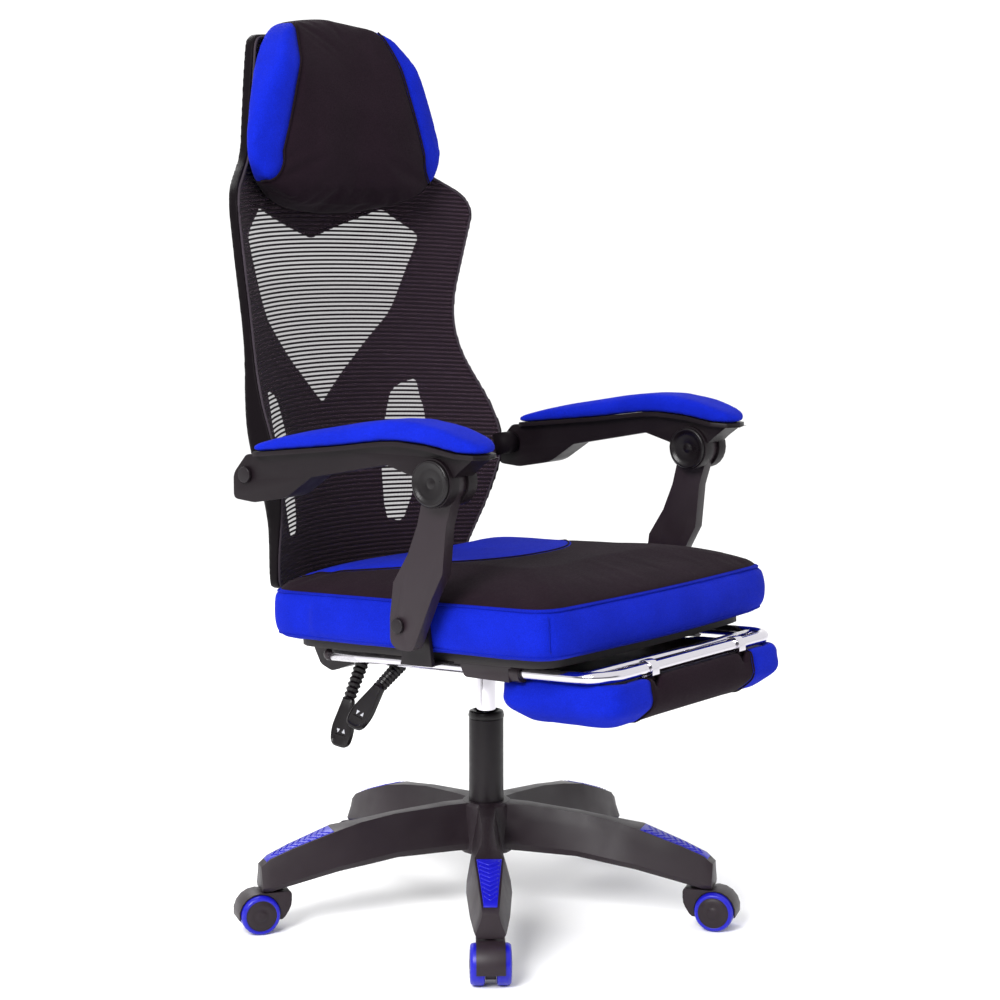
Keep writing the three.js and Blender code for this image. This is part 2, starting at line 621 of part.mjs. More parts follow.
function armBeam() {
  const under = [[-228, 695], [-205, 678], [-190, 664], [-140, 664], [-85, 679], [46, 654], [91, 624, 12],
    [150, 613, 6], [189, 616, 8], [189, 650, 8], [164, 678, 6]];
  const web = plateX([...PAD_SEAT.map(([y, z]) => [y, z - 4]), ...under], ARM_X - 20, ARM_X + 20);
  const tray = common(plateX([...PAD_SEAT, ...PAD_SEAT.map(([y, z]) => [y, z - 6]).reverse()],
    ARM_X - PAD_HALF, ARM_X + PAD_HALF), padPlan(1));
  const barrel = rodX(32, KNUCKLE, ARM_X - 27, ARM_X + 27, 24);
  const [y, z] = KNUCKLE;
  const slot = join(rodX(33, KNUCKLE, ARM_X - POST_HALF - GAP, ARM_X + POST_HALF + GAP, 20),
    box(ARM_X - POST_HALF - GAP, ARM_X + POST_HALF + GAP, y - 33, y + 33, z - 40, z));
  return cut(join(web, tray, barrel), slot, rodX(8 + GAP, KNUCKLE, 250, 340, 16),
    rodX(7 + RUN, REAR_PIVOT, 250, 340, 12));
}

function armPad() {
  const lower = PAD_SEAT.map(([y, z]) => [y, z + GAP]);
  const upper = [[-240, 708, 5], [-222, 718], [-180, 731], [-130, 738], [-90, 737], [0, 721], [100, 704],
    [152, 691, 4]];
  return common(plateX([...lower, ...upper], ARM_X - PAD_HALF, ARM_X + PAD_HALF), padPlan(0));
}

function knucklePin() {
  return join(rodX(8, KNUCKLE, ARM_X - 29, ARM_X + 29, 16),
    rodX(25, KNUCKLE, ARM_X + 27 + GAP, ARM_X + 31, 20), rodX(25, KNUCKLE, ARM_X - 31, ARM_X - 27 - GAP, 20));
}

function buildArms() {
  for (const [name, side] of [['left', -1], ['right', 1]]) {
    const place = (geometry) => (side > 0 ? geometry : mirrored(geometry));
    add(`arm_post_${name}`, place(armPost()), PLASTIC);
    add(`arm_beam_${name}`, place(armBeam()), PLASTIC);
    add(`arm_pad_${name}`, place(armPad()), BLUE_FABRIC);
    add(`arm_knuckle_pin_${name}`, place(knucklePin()), PLASTIC);
  }
}

buildBase();
buildGasLift();
buildSeat();
buildFootrest();
buildBack();
buildArms();

export default chair;
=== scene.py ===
import json
import math

import bmesh
import bpy
import numpy as np
from mathutils import Matrix, Vector
from mathutils.bvhtree import BVHTree


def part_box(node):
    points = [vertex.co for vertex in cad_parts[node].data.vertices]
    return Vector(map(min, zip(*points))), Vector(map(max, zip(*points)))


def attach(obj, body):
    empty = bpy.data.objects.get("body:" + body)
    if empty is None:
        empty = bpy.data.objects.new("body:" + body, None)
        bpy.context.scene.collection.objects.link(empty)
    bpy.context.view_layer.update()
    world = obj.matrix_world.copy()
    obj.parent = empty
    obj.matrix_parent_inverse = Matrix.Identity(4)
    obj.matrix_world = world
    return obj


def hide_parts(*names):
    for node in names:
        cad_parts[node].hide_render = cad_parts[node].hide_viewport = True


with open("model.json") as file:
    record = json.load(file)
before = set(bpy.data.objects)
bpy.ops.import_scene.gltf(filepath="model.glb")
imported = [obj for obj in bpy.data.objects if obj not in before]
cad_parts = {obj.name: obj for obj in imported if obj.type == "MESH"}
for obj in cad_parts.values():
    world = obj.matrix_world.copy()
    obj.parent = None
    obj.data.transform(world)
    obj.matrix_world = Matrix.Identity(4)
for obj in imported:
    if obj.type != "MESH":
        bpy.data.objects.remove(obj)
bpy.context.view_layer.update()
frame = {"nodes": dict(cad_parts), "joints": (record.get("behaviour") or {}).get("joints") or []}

# ---------------------------------------------------------------- places read off the frame
MM = 0.001
piston_low, piston_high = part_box("gas_cylinder")
COLUMN = Vector(((piston_low.x + piston_high.x) / 2, (piston_low.y + piston_high.y) / 2, -0.005))
SEAT_TILT = math.radians(2.6)
SEAT_BASE = 0.423                      # underside of the cushion above the column axis
TILT = Matrix.Rotation(-SEAT_TILT, 4, "X")
SEAT_FRAME = Matrix.Translation(COLUMN + Vector((0, 0, SEAT_BASE))) @ TILT
SEAT_SEAM = 0.068                      # height of the seam round the top of the cushion
SIDE_NAMES = {-1: "left", 1: "right"}
JOINTS = {joint["name"]: joint for joint in frame["joints"]}


def column(x, y, z):
    """A point given in millimetres from the column axis, in the row frame."""
    return COLUMN + Vector((x, y, z)) * MM


# ---------------------------------------------------------------- camera and stage
CAMERA_TARGET = column(12.33, -15.41, 597.6)
CAMERA_AZIMUTH = math.radians(-52)
CAMERA_ELEVATION = math.radians(6.91)
CAMERA_DISTANCE = 3.1714


def build_camera():
    data = bpy.data.cameras.new("camera")
    data.lens = 80.6
    data.sensor_width = 36
    camera = bpy.data.objects.new("camera", data)
    bpy.context.scene.collection.objects.link(camera)
    back = Vector((
        math.sin(CAMERA_AZIMUTH) * math.cos(CAMERA_ELEVATION),
        -math.cos(CAMERA_AZIMUTH) * math.cos(CAMERA_ELEVATION),
        math.sin(CAMERA_ELEVATION),
    ))
    camera.location = CAMERA_TARGET + back * CAMERA_DISTANCE
    camera.rotation_euler = (-back).to_track_quat("-Z", "Y").to_euler()
    bpy.context.scene.camera = camera


def area_light(name, place, power, size):
    data = bpy.data.lights.new(name, "AREA")
    data.energy = power
    data.size = size
    light = bpy.data.objects.new(name, data)
    light.location = place
    light.rotation_euler = (CAMERA_TARGET - Vector(place)).to_track_quat("-Z", "Y").to_euler()
    bpy.context.scene.collection.objects.link(light)


def paint_world(tree):
    """White studio with a soft dark strip low behind the viewer, which draws dark lines in the chrome."""
    background = tree.nodes["Background"]
    background.inputs["Strength"].default_value = 1.14
    place = tree.nodes.new("ShaderNodeTexCoord").outputs["Generated"]
    towards = tree.nodes.new("ShaderNodeVectorMath")
    towards.operation = "DOT_PRODUCT"
    towards.inputs[1].default_value = (math.sin(CAMERA_AZIMUTH), -math.cos(CAMERA_AZIMUTH), 0)
    split = tree.nodes.new("ShaderNodeSeparateXYZ")
    tree.links.new(place, towards.inputs[0])
    tree.links.new(place, split.inputs[0])
    shares = []
    for source, low, high in ((towards.outputs["Value"], 0.15, 0.5), (split.outputs["Z"], 0.02, 0.14),
                              (split.outputs["Z"], 0.50, 0.30)):
        step = tree.nodes.new("ShaderNodeMapRange")
        step.interpolation_type = "SMOOTHSTEP"
        step.inputs["From Min"].default_value = low
        step.inputs["From Max"].default_value = high
        tree.links.new(source, step.inputs["Value"])
        shares.append(step.outputs["Result"])
    strip = shares[0]
    for share in shares[1:]:
        product = tree.nodes.new("ShaderNodeMath")
        product.operation = "MULTIPLY"
        tree.links.new(strip, product.inputs[0])
        tree.links.new(share, product.inputs[1])
        strip = product.outputs[0]
    mix = tree.nodes.new("ShaderNodeMix")
    mix.data_type = "RGBA"
    mix.inputs[6].default_value = (1, 1, 1, 1)
    mix.inputs[7].default_value = (0.12, 0.12, 0.13, 1)
    tree.links.new(strip, mix.inputs[0])
    tree.links.new(mix.outputs[2], background.inputs["Color"])


def build_stage():
    world = bpy.data.worlds.new("studio")
    world.use_nodes = True
    paint_world(world.node_tree)
    bpy.context.scene.world = world
    bpy.context.scene.view_settings.view_transform = "Standard"
    bpy.ops.mesh.primitive_plane_add(size=60)
    floor = bpy.context.object
    floor.name = "floor"
    floor.data.materials.append(plain_floor())
    area_light("key", (-3.3, -0.7, 2.7), 190, 1.6)
    area_light("rim", (1.2, 2.8, 2.6), 35, 1.4)


# ---------------------------------------------------------------- materials
class Nodes:
    """Node tree of one material, with short calls for adding and linking nodes."""

    def __init__(self, name):
        self.material = bpy.data.materials.new(name)
        self.material.use_nodes = True
        self.tree = self.material.node_tree
        self.shader = self.tree.nodes["Principled BSDF"]
        self.place = self.add("ShaderNodeTexCoord").outputs["Object"]

    def add(self, kind, **settings):
        node = self.tree.nodes.new(kind)
        for key, value in settings.items():
            setattr(node, key, value)
        return node

    def link(self, source, target):
        self.tree.links.new(source, target)

    def math(self, operation, a, b=None, clamp=False):
        node = self.add("ShaderNodeMath", operation=operation, use_clamp=clamp)
        for socket, value in zip(node.inputs, (a, b)):
            if value is None:
                continue
            if isinstance(value, (int, float)):
                socket.default_value = value
            else:
                self.link(value, socket)
        return node.outputs[0]

    def split(self, source):
        node = self.add("ShaderNodeSeparateXYZ")
        self.link(source, node.inputs[0])
        return node.outputs

    def noise(self, scale, detail=3.0, rough=0.5, vector=None):
        node = self.add("ShaderNodeTexNoise")
        node.inputs["Scale"].default_value = scale
        node.inputs["Detail"].default_value = detail
        node.inputs["Roughness"].default_value = rough
        self.link(vector or self.place, node.inputs["Vector"])
        return node.outputs["Fac"]

    def remap(self, source, low, high, new_low, new_high):
        node = self.add("ShaderNodeMapRange")
        self.link(source, node.inputs["Value"])
        for key, value in (("From Min", low), ("From Max", high), ("To Min", new_low), ("To Max", new_high)):
            node.inputs[key].default_value = value
        return node.outputs["Result"]

    def mix(self, factor, a, b):
        node = self.add("ShaderNodeMix", data_type="RGBA")
        sockets = [node.inputs[0], node.inputs[6], node.inputs[7]]
        for socket, value in zip(sockets, (factor, a, b)):
            if isinstance(value, (int, float)):
                socket.default_value = value
            elif isinstance(value, tuple):
                socket.default_value = (*value, 1)
            else:
                self.link(value, socket)
        return node.outputs[2]

    def bump(self, height, distance, strength=1.0, after=None):
        node = self.add("ShaderNodeBump")
        node.inputs["Distance"].default_value = distance
        node.inputs["Strength"].default_value = strength
        self.link(height, node.inputs["Height"])
        if after is not None:
            self.link(after, node.inputs["Normal"])
        return node.outputs["Normal"]

    def set(self, name, value):
        socket = self.shader.inputs[name]
        if isinstance(value, tuple):
            socket.default_value = (*value, 1)
        elif isinstance(value, (int, float)):
            socket.default_value = value
        else:
            self.link(value, socket)


def plain_floor():
    n = Nodes("floor_paper")
    n.set("Base Color", n.mix(n.noise(1.2), (0.955, 0.955, 0.955), (0.97, 0.97, 0.97)))
    n.set("Roughness", 0.9)
    n.set("Specular IOR Level", 0.1)
    return n.material


def weave_height(n, pitch):
    """Crossing threads, in any direction of cloth, as a height from 0 to 1."""
    x, y, z = n.split(n.place)
    turn = 2 * math.pi / pitch
    rows = [n.math("SINE", n.math("MULTIPLY", axis, turn)) for axis in (x, y, z)]
    pair = n.math("MULTIPLY", n.math("ADD", rows[0], rows[1]), n.math("ADD", rows[1], rows[2]))
    return n.math("MULTIPLY_ADD", pair, 0.25)


def cloth(name, colour, second=None, mask=None, sheen=0.02, pitch=0.0016, slub=0.3):
    """Knitted cover cloth. With a mask it shows the second colour where the mask is 1."""
    n = Nodes(name)
    mottle = n.remap(n.noise(18, 5), 0.3, 0.7, 1 - slub * 0.35, 1 + slub * 0.35)
    fleck = n.remap(n.noise(900, 2, 0.7), 0.3, 0.7, 1 - slub, 1 + slub)
    shade = n.math("MULTIPLY", mottle, fleck)
    base = n.mix(mask(n), colour, second) if mask else n.mix(0.0, colour, colour)
    node = n.add("ShaderNodeVectorMath", operation="SCALE")
    n.link(base, node.inputs[0])
    n.link(shade, node.inputs["Scale"])
    n.set("Base Color", node.outputs[0])
    n.set("Roughness", n.remap(n.noise(300), 0.3, 0.7, 0.78, 0.95))
    n.set("Sheen Weight", sheen)
    n.set("Sheen Roughness", 0.45)
    n.set("Specular IOR Level", 0.04)
    soft = n.bump(n.noise(60, 3), 0.0012, 0.4)
    n.set("Normal", n.bump(weave_height(n, pitch), 0.00025, 0.5, soft))
    return n.material


def plastic(name, colour, rough=0.42, grain=0.00012, wear=0.5, coat=0.0, gloss=0.3):
    """Moulded plastic with a fine spark-eroded grain and edges that are rubbed paler in patches."""
    n = Nodes(name)
    edge = n.remap(n.add("ShaderNodeNewGeometry").outputs["Pointiness"], 0.5, 0.58, 0.0, wear)
    rubbed = tuple(min(1, c * 1.8 + 0.004) for c in colour)
    patch = n.math("MULTIPLY", edge, n.remap(n.noise(45, 4), 0.35, 0.65, 0.3, 1.0), clamp=True)
    tone = n.mix(n.remap(n.noise(7, 4), 0.3, 0.7, 0.0, 1.0), colour, tuple(c * 1.25 for c in colour))
    n.set("Base Color", n.mix(patch, tone, rubbed))
    n.set("Roughness", n.remap(n.noise(28, 4), 0.3, 0.7, rough - 0.05, rough + 0.07))
    n.set("Coat Weight", coat)
    n.set("Specular IOR Level", gloss)
    n.set("Coat Roughness", 0.2)
    n.set("Normal", n.bump(n.noise(1400, 2, 0.6), grain, 0.6))
    return n.material


def metal(name, colour, rough, scratches=0.03):
    n = Nodes(name)
    fine = n.noise(260, 4, 0.7)
    n.set("Base Color", n.mix(n.noise(9), colour, tuple(c * 0.94 for c in colour)))
    n.set("Metallic", 1.0)
    n.set("Roughness", n.remap(fine, 0.3, 0.7, rough, rough + scratches))
    n.set("Normal", n.bump(fine, 0.00003, 0.2))
    return n.material


def painted(name, colour):
    n = Nodes(name)
    n.set("Base Color", n.mix(n.noise(12), colour, tuple(c * 1.3 for c in colour)))
    n.set("Roughness", n.remap(n.noise(120, 3), 0.3, 0.7, 0.36, 0.48))
    n.set("Specular IOR Level", 0.25)
    n.set("Normal", n.bump(n.noise(700, 2), 0.00008, 0.5))
    return n.material


def ply(name):
    n = Nodes(name)
    stretched = n.add("ShaderNodeMapping")
    stretched.inputs["Scale"].default_value = (1, 8, 40)
    n.link(n.place, stretched.inputs["Vector"])
    grain = n.noise(14, 6, 0.6, stretched.outputs[0])
    n.set("Base Color", n.mix(grain, (0.008, 0.006, 0.006), (0.014, 0.010, 0.010)))
    n.set("Roughness", 0.75)
    n.set("Normal", n.bump(grain, 0.0003, 0.5))
    return n.material


RIB_PITCH = 0.0063
THREAD_PITCH = 0.0022
GAP_ALPHA = 0.52                       # how much of the light the threads between two ribs hold back


def rib_wave(n):
    """Sine wave that is high on a rib of the back mesh and low between two ribs."""
    rise = n.add("ShaderNodeAttribute", attribute_name="rib_height").outputs["Fac"]
    return n.math("SINE", n.math("MULTIPLY", rise, 2 * math.pi))


def mesh_cloth(name):
    """Open ribbed mesh: dark ribs, and thin pale lilac threads between them that let light through."""
    n = Nodes(name)
    wave = rib_wave(n)
    rib = n.remap(wave, -0.35, 0.15, 0.0, 1.0)
    x = n.split(n.place)["X"]
    threads = n.math("SINE", n.math("MULTIPLY", x, 2 * math.pi / THREAD_PITCH))
    n.set("Base Color", n.mix(rib, (0.055, 0.034, 0.050), (0.008, 0.0045, 0.007)))
    n.set("Roughness", 0.8)
    n.set("Sheen Weight", 0.03)
    n.set("Specular IOR Level", 0.1)
    gap_value = n.math("ADD", n.math("MULTIPLY", threads, 0.08), GAP_ALPHA)
    n.set("Alpha", n.math("MAXIMUM", rib, gap_value))
    n.set("Normal", n.bump(threads, 0.0002, 0.4))
    return n.material


SEAM_BLUR = 0.0004                     # half width of the colour change at a seam
PATCH_HALF = 0.206                     # blue half oval on the seat: half width, length, rear edge, power
PATCH_LENGTH = 0.262
PATCH_REAR = 0.160
PATCH_POWER = 2.3
FOOT_SEAM = 0.122                      # seams of the footrest on each side of its middle

BLACK = (0.0118, 0.0068, 0.0098)
BLACK_CLOTH = (0.0110, 0.0058, 0.0095)
BLUE_CLOTH = (0.0036, 0.0125, 0.34)
BLUE_GLOSS = (0.0060, 0.0055, 0.30)


def cushion_mask(n):
    """Blue boxing below the seam and a blue half oval at the rear of the top."""
    x, y, z = n.split(n.place)
    sin_tilt, cos_tilt = math.sin(SEAT_TILT), math.cos(SEAT_TILT)
    local_y = n.math("SUBTRACT", y, COLUMN.y)
    rise = n.math("SUBTRACT", z, COLUMN.z + SEAT_BASE)
    w = n.math("ADD", n.math("MULTIPLY", local_y, sin_tilt), n.math("MULTIPLY", rise, cos_tilt))
    boxing = n.remap(w, SEAT_SEAM - SEAM_BLUR, SEAT_SEAM + SEAM_BLUR, 1.0, 0.0)
    across = n.math("DIVIDE", n.math("SUBTRACT", x, COLUMN.x), PATCH_HALF)
    across = n.math("POWER", n.math("ABSOLUTE", across), PATCH_POWER)
    along = n.math("DIVIDE", n.math("SUBTRACT", local_y, PATCH_REAR), PATCH_LENGTH)
    along = n.math("POWER", n.math("ABSOLUTE", along), 2.0)
    oval = n.math("ADD", across, along)
    patch = n.remap(oval, 0.996, 1.004, 1.0, 0.0)
    return n.math("MAXIMUM", boxing, patch, clamp=True)


PANEL_TOP = 1.278                      # blue side panels of the headrest, in metres from the column
PANEL_FOOT_X = 0.190
PANEL_FOOT_Z = 1.043
PANEL_FOOT_HALF = 0.037
PANEL_FOOT_RISE = 0.042
SEAM_SLOPE = 0.3565
SEAM_LOW = (0.164, 1.060)
FOOT_JOIN_Z = 1.090                    # where the straight seam of a panel meets its foot
FOOT_SPAN = (0.1532, 0.206)


def headrest_seam(z):
    """Half width of the black middle of the headrest at a height."""
    return SEAM_LOW[0] - SEAM_SLOPE * (z - SEAM_LOW[1])


def panel_foot(x):
    """Lower edge of a blue panel, half an ellipse."""
    off = min(1.0, max(-1.0, (x - PANEL_FOOT_X) / PANEL_FOOT_HALF))
    return PANEL_FOOT_Z + PANEL_FOOT_RISE * (1 - math.sqrt(1 - off * off))


def headrest_mask(n):
    """Blue side panels outside the seams, each ending in a rounded foot."""
    place = n.split(n.place)
    x, z = place["X"], place["Z"]
    out = n.math("ABSOLUTE", n.math("SUBTRACT", x, COLUMN.x))
    rise = n.math("SUBTRACT", z, COLUMN.z)
    narrowing = n.math("MULTIPLY", n.math("SUBTRACT", rise, SEAM_LOW[1]), SEAM_SLOPE)
    limit = n.math("SUBTRACT", SEAM_LOW[0], narrowing)
    limit = n.math("MINIMUM", limit, PANEL_FOOT_X - PANEL_FOOT_HALF + 0.0012)
    side = n.remap(n.math("SUBTRACT", out, limit), -SEAM_BLUR, SEAM_BLUR, 0.0, 1.0)
    off = n.math("DIVIDE", n.math("SUBTRACT", out, PANEL_FOOT_X), PANEL_FOOT_HALF)
    off = n.math("MINIMUM", n.math("MAXIMUM", off, -1.0), 1.0)
    arch = n.math("SUBTRACT", 1.0, n.math("SQRT", n.math("SUBTRACT", 1.0, n.math("MULTIPLY", off, off))))
    foot = n.math("ADD", n.math("MULTIPLY", arch, PANEL_FOOT_RISE), PANEL_FOOT_Z)
    low = n.remap(n.math("SUBTRACT", rise, foot), -SEAM_BLUR, SEAM_BLUR, 0.0, 1.0)
    return n.math("MULTIPLY", side, low, clamp=True)


def footrest_mask(n):
    """Black middle of the footrest between its two seams."""
    x = n.split(n.place)["X"]
    out = n.math("ABSOLUTE", n.math("SUBTRACT", x, COLUMN.x))
    return n.remap(out, FOOT_SEAM - SEAM_BLUR, FOOT_SEAM + SEAM_BLUR, 1.0, 0.0)


def build_materials():
    return {
        "plastic": plastic("black_moulded_plastic", BLACK, 0.43),
        "dark_plastic": plastic("black_smooth_plastic", (0.0036, 0.0024, 0.0032), 0.30, gloss=0.24),
        "beam": plastic("black_armrest_plastic", (0.0050, 0.0028, 0.0042), 0.46, gloss=0.16),
        "shell": plastic("black_frame_plastic", (0.0030, 0.0018, 0.0027), 0.50, gloss=0.04),
        "blue": plastic("blue_satin_plastic", BLUE_GLOSS, 0.32, coat=0.05),
        "steel": painted("black_powder_coat", (0.0065, 0.0042, 0.0058)),
        "chrome": metal("polished_chrome", (0.64, 0.62, 0.67), 0.07),
        "ply": ply("stained_ply"),
        "seat": cloth("seat_cover", BLACK_CLOTH, BLUE_CLOTH, cushion_mask),
        "headrest": cloth("headrest_cover", BLACK_CLOTH, BLUE_CLOTH, headrest_mask),
        "footrest": cloth("footrest_cover", BLUE_CLOTH, BLACK_CLOTH, footrest_mask),
        "blue_cloth": cloth("blue_cover", BLUE_CLOTH),
        "piping": cloth("black_piping", (0.009, 0.005, 0.0075), pitch=0.0009),
        "blue_piping": cloth("blue_piping", (0.003, 0.010, 0.27), pitch=0.0009),
        "mesh": mesh_cloth("ribbed_mesh"),
        "mark": plastic("pale_mark", (0.30, 0.30, 0.32), 0.5),
    }


# ---------------------------------------------------------------- mesh helpers
def make_object(name, verts, faces, material, smooth=True):
    mesh = bpy.data.meshes.new(name)
    mesh.from_pydata([tuple(v) for v in verts], [], faces)
    mesh.materials.append(material)
    mesh.validate()
    bm = bmesh.new()
    bm.from_mesh(mesh)
    bmesh.ops.recalc_face_normals(bm, faces=bm.faces)
    bm.to_mesh(mesh)
    bm.free()
    obj = bpy.data.objects.new(name, mesh)
    bpy.context.scene.collection.objects.link(obj)
    if smooth:
        mesh.shade_smooth()
    return obj


def coords(mesh):
    points = np.empty(len(mesh.vertices) * 3, np.float32)
    mesh.vertices.foreach_get("co", points)
    return points.reshape(-1, 3).astype(float)


def normals(mesh):
    values = np.empty(len(mesh.vertices) * 3, np.float32)
    mesh.vertices.foreach_get("normal", values)
    return values.reshape(-1, 3).astype(float)


def set_coords(mesh, points):
    mesh.vertices.foreach_set("co", points.astype(np.float32).ravel())
    mesh.update()


def baked(obj):
    """Replaces an object's mesh by what its modifiers make of it."""
    graph = bpy.context.evaluated_depsgraph_get()
    graph.update()
    mesh = bpy.data.meshes.new_from_object(obj.evaluated_get(graph))
    obj.modifiers.clear()
    obj.data = mesh
    return obj


def lathe(profile, origin, axis, material, name="turned", steps=40, colours=None):
    """Closed body turned about an axis through origin, from [radius, height] pairs."""
    turn = Vector((0, 0, 1)).rotation_difference(Vector(axis)).to_matrix().to_4x4()
    place = Matrix.Translation(origin) @ turn
    verts, faces, rows = [], [], []
    for radius, height in profile:
        if radius < 1e-7:
            rows.append([len(verts)] * steps)
            verts.append(place @ Vector((0, 0, height)))
            continue
        rows.append(list(range(len(verts), len(verts) + steps)))
        for k in range(steps):
            angle = 2 * math.pi * k / steps
            verts.append(place @ Vector((radius * math.cos(angle), radius * math.sin(angle), height)))
    kinds = []
    for i in range(len(rows) - 1):
        for k in range(steps):
            quad = [rows[i][k], rows[i][(k + 1) % steps], rows[i + 1][(k + 1) % steps], rows[i + 1][k]]
            face = list(dict.fromkeys(quad))
            if len(face) > 2:
                faces.append(face)
                kinds.append(colours[i] if colours else 0)
    obj = make_object(name, verts, faces, material)
    if colours:
        obj.data.polygons.foreach_set("material_index", kinds)
    return obj


def sweep(points, radius, material, name="tube", sides=12, closed=False, flat=1.0, up=(0, 0, 1)):
    """Round or flattened tube along a line of points, with capped ends."""
    points = [Vector(p) for p in points]
    count = len(points)
    verts, faces = [], []
    for i, point in enumerate(points):
        before = points[i - 1] if i or closed else point
        after = points[(i + 1) % count] if i + 1 < count or closed else point
        along = (after - before).normalized()
        side = along.cross(Vector(up))
        side = side.normalized() if side.length > 1e-4 else along.orthogonal().normalized()
        top = side.cross(along)
        r = radius(i / (count - 1)) if callable(radius) else radius
        for k in range(sides):
            angle = 2 * math.pi * k / sides
            verts.append(point + side * (r * math.cos(angle)) + top * (r * flat * math.sin(angle)))
    for i in range(count if closed else count - 1):
        for k in range(sides):
            a, b = i * sides + k, i * sides + (k + 1) % sides
            c, d = (i + 1) % count * sides + (k + 1) % sides, (i + 1) % count * sides + k
            faces.append([a, b, c, d])
    if not closed:
        faces.append(list(range(sides))[::-1])
        faces.append([(count - 1) * sides + k for k in range(sides)])
    return make_object(name, verts, faces, material)


def joined(name, objects):
    for obj in bpy.context.selected_objects:
        obj.select_set(False)
    for obj in objects:
        obj.select_set(True)
    bpy.context.view_layer.objects.active = objects[0]
    bpy.ops.object.join()
    objects[0].name = name
    objects[0].data.name = name
    objects[0].select_set(False)
    return objects[0]


def rounded(corners, steps=6):
    """Polygon points in a plane; a corner is (x, y) or (x, y, radius)."""
    points = []
    count = len(corners)
    for i, corner in enumerate(corners):
        here = Vector(corner[:2])
        radius = corner[2] if len(corner) > 2 else 0
        if not radius:
            points.append(here)
            continue
        before = (Vector(corners[i - 1][:2]) - here).normalized() * radius + here
        after = (Vector(corners[(i + 1) % count][:2]) - here).normalized() * radius + here
        for k in range(steps + 1):
            t = k / steps
            points.append((1 - t) ** 2 * before + 2 * t * (1 - t) * here + t ** 2 * after)
    return points


def finish_piece(obj, body, nodes=()):
    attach(obj, body)
    if nodes:
        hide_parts(*nodes)
    return obj


# ---------------------------------------------------------------- padded pieces
def remeshed(node, name, voxel, material, smooth=4):
    obj = bpy.data.objects.new(name, frame["nodes"][node].data.copy())
    obj.data.materials.clear()
    obj.data.materials.append(material)
    bpy.context.scene.collection.objects.link(obj)
    mod = obj.modifiers.new("voxels", "REMESH")
    mod.mode = "VOXEL"
    mod.voxel_size = voxel
    relax = obj.modifiers.new("relax", "SMOOTH")
    relax.factor = 0.5
    relax.iterations = smooth
    baked(obj)
    obj.data.materials.clear()
    obj.data.materials.append(material)
    obj.data.shade_smooth()
    return obj


def inflate(obj, pinned, cap, pressure=4.0, frames=20):
    """Cloth simulation of the closed cover. pinned and cap are given for each vertex."""
    rest = coords(obj.data)
    group = obj.vertex_groups.new(name="seams")
    for i, weight in enumerate(pinned):
        if weight > 0:
            group.add([i], float(weight), "REPLACE")
    mod = obj.modifiers.new("cover", "CLOTH")
    mod.settings.quality = 5
    mod.settings.mass = 0.3
    mod.settings.use_pressure = True
    mod.settings.uniform_pressure_force = pressure
    mod.settings.effector_weights.gravity = 0
    mod.settings.tension_stiffness = 15
    mod.settings.compression_stiffness = 15
    mod.settings.bending_stiffness = 0.5
    mod.settings.vertex_group_mass = "seams"
    mod.point_cache.frame_start = 1
    mod.point_cache.frame_end = frames
    scene = bpy.context.scene
    for step in range(1, frames + 1):
        scene.frame_set(step)
    graph = bpy.context.evaluated_depsgraph_get()
    moved = coords(obj.evaluated_get(graph).data)
    obj.modifiers.clear()
    scene.frame_set(1)
    shift = moved - rest
    length = np.linalg.norm(shift, axis=1)
    scale = np.minimum(1.0, cap / np.maximum(length, 1e-9))
    set_coords(obj.data, rest + shift * scale[:, None])


def relax(obj, rounds, factor=0.5):
    mod = obj.modifiers.new("relax", "SMOOTH")
    mod.iterations = rounds
    mod.factor = factor
    material = obj.data.materials[0]
    baked(obj)
    obj.data.materials.clear()
    obj.data.materials.append(material)
    obj.data.shade_smooth()


def groove(obj, line, width, depth):
    """Presses a sewn channel into the surface along a line of points."""
    points = coords(obj.data)
    marks = np.array([list(p) for p in line])
    nearest = np.full(len(points), 1e9)
    for start in range(0, len(marks), 64):
        block = marks[start:start + 64]
        distance = np.linalg.norm(points[:, None, :] - block[None, :, :], axis=2).min(axis=1)
        nearest = np.minimum(nearest, distance)
    push = depth * np.exp(-(nearest / width) ** 2)
    set_coords(obj.data, points - normals(obj.data) * push[:, None])


def surface_tree(obj):
    mesh = obj.data
    return BVHTree.FromPolygons([v.co for v in mesh.vertices], [p.vertices[:] for p in mesh.polygons])


def on_surface(obj, points, direction):
    """The points moved along a direction onto the object, and those that miss left out."""
    tree = surface_tree(obj)
    direction = Vector(direction).normalized()
    hits = []
    for point in points:
        place, *_ = tree.ray_cast(Vector(point) - direction * 0.5, direction)
        if place is not None:
            hits.append(place)
    return hits


def add_subdivision(obj, levels=1):
    mod = obj.modifiers.new("subdivision", "SUBSURF")
    mod.levels = levels
    mod.render_levels = levels


def seat_local(points):
    inverse = np.array(SEAT_FRAME.inverted())
    return points @ inverse[:3, :3].T + inverse[:3, 3]


def seat_outline(steps=10):
    """Plan of the cushion in millimetres."""
    corners = [(-252, 195, 55), (-265, -310, 46), (0, -326, 150), (265, -310, 46), (252, 195, 55)]
    return rounded(corners, steps)


SEAT_CROWN = 0.012
SIDE_SWELL = 0.007


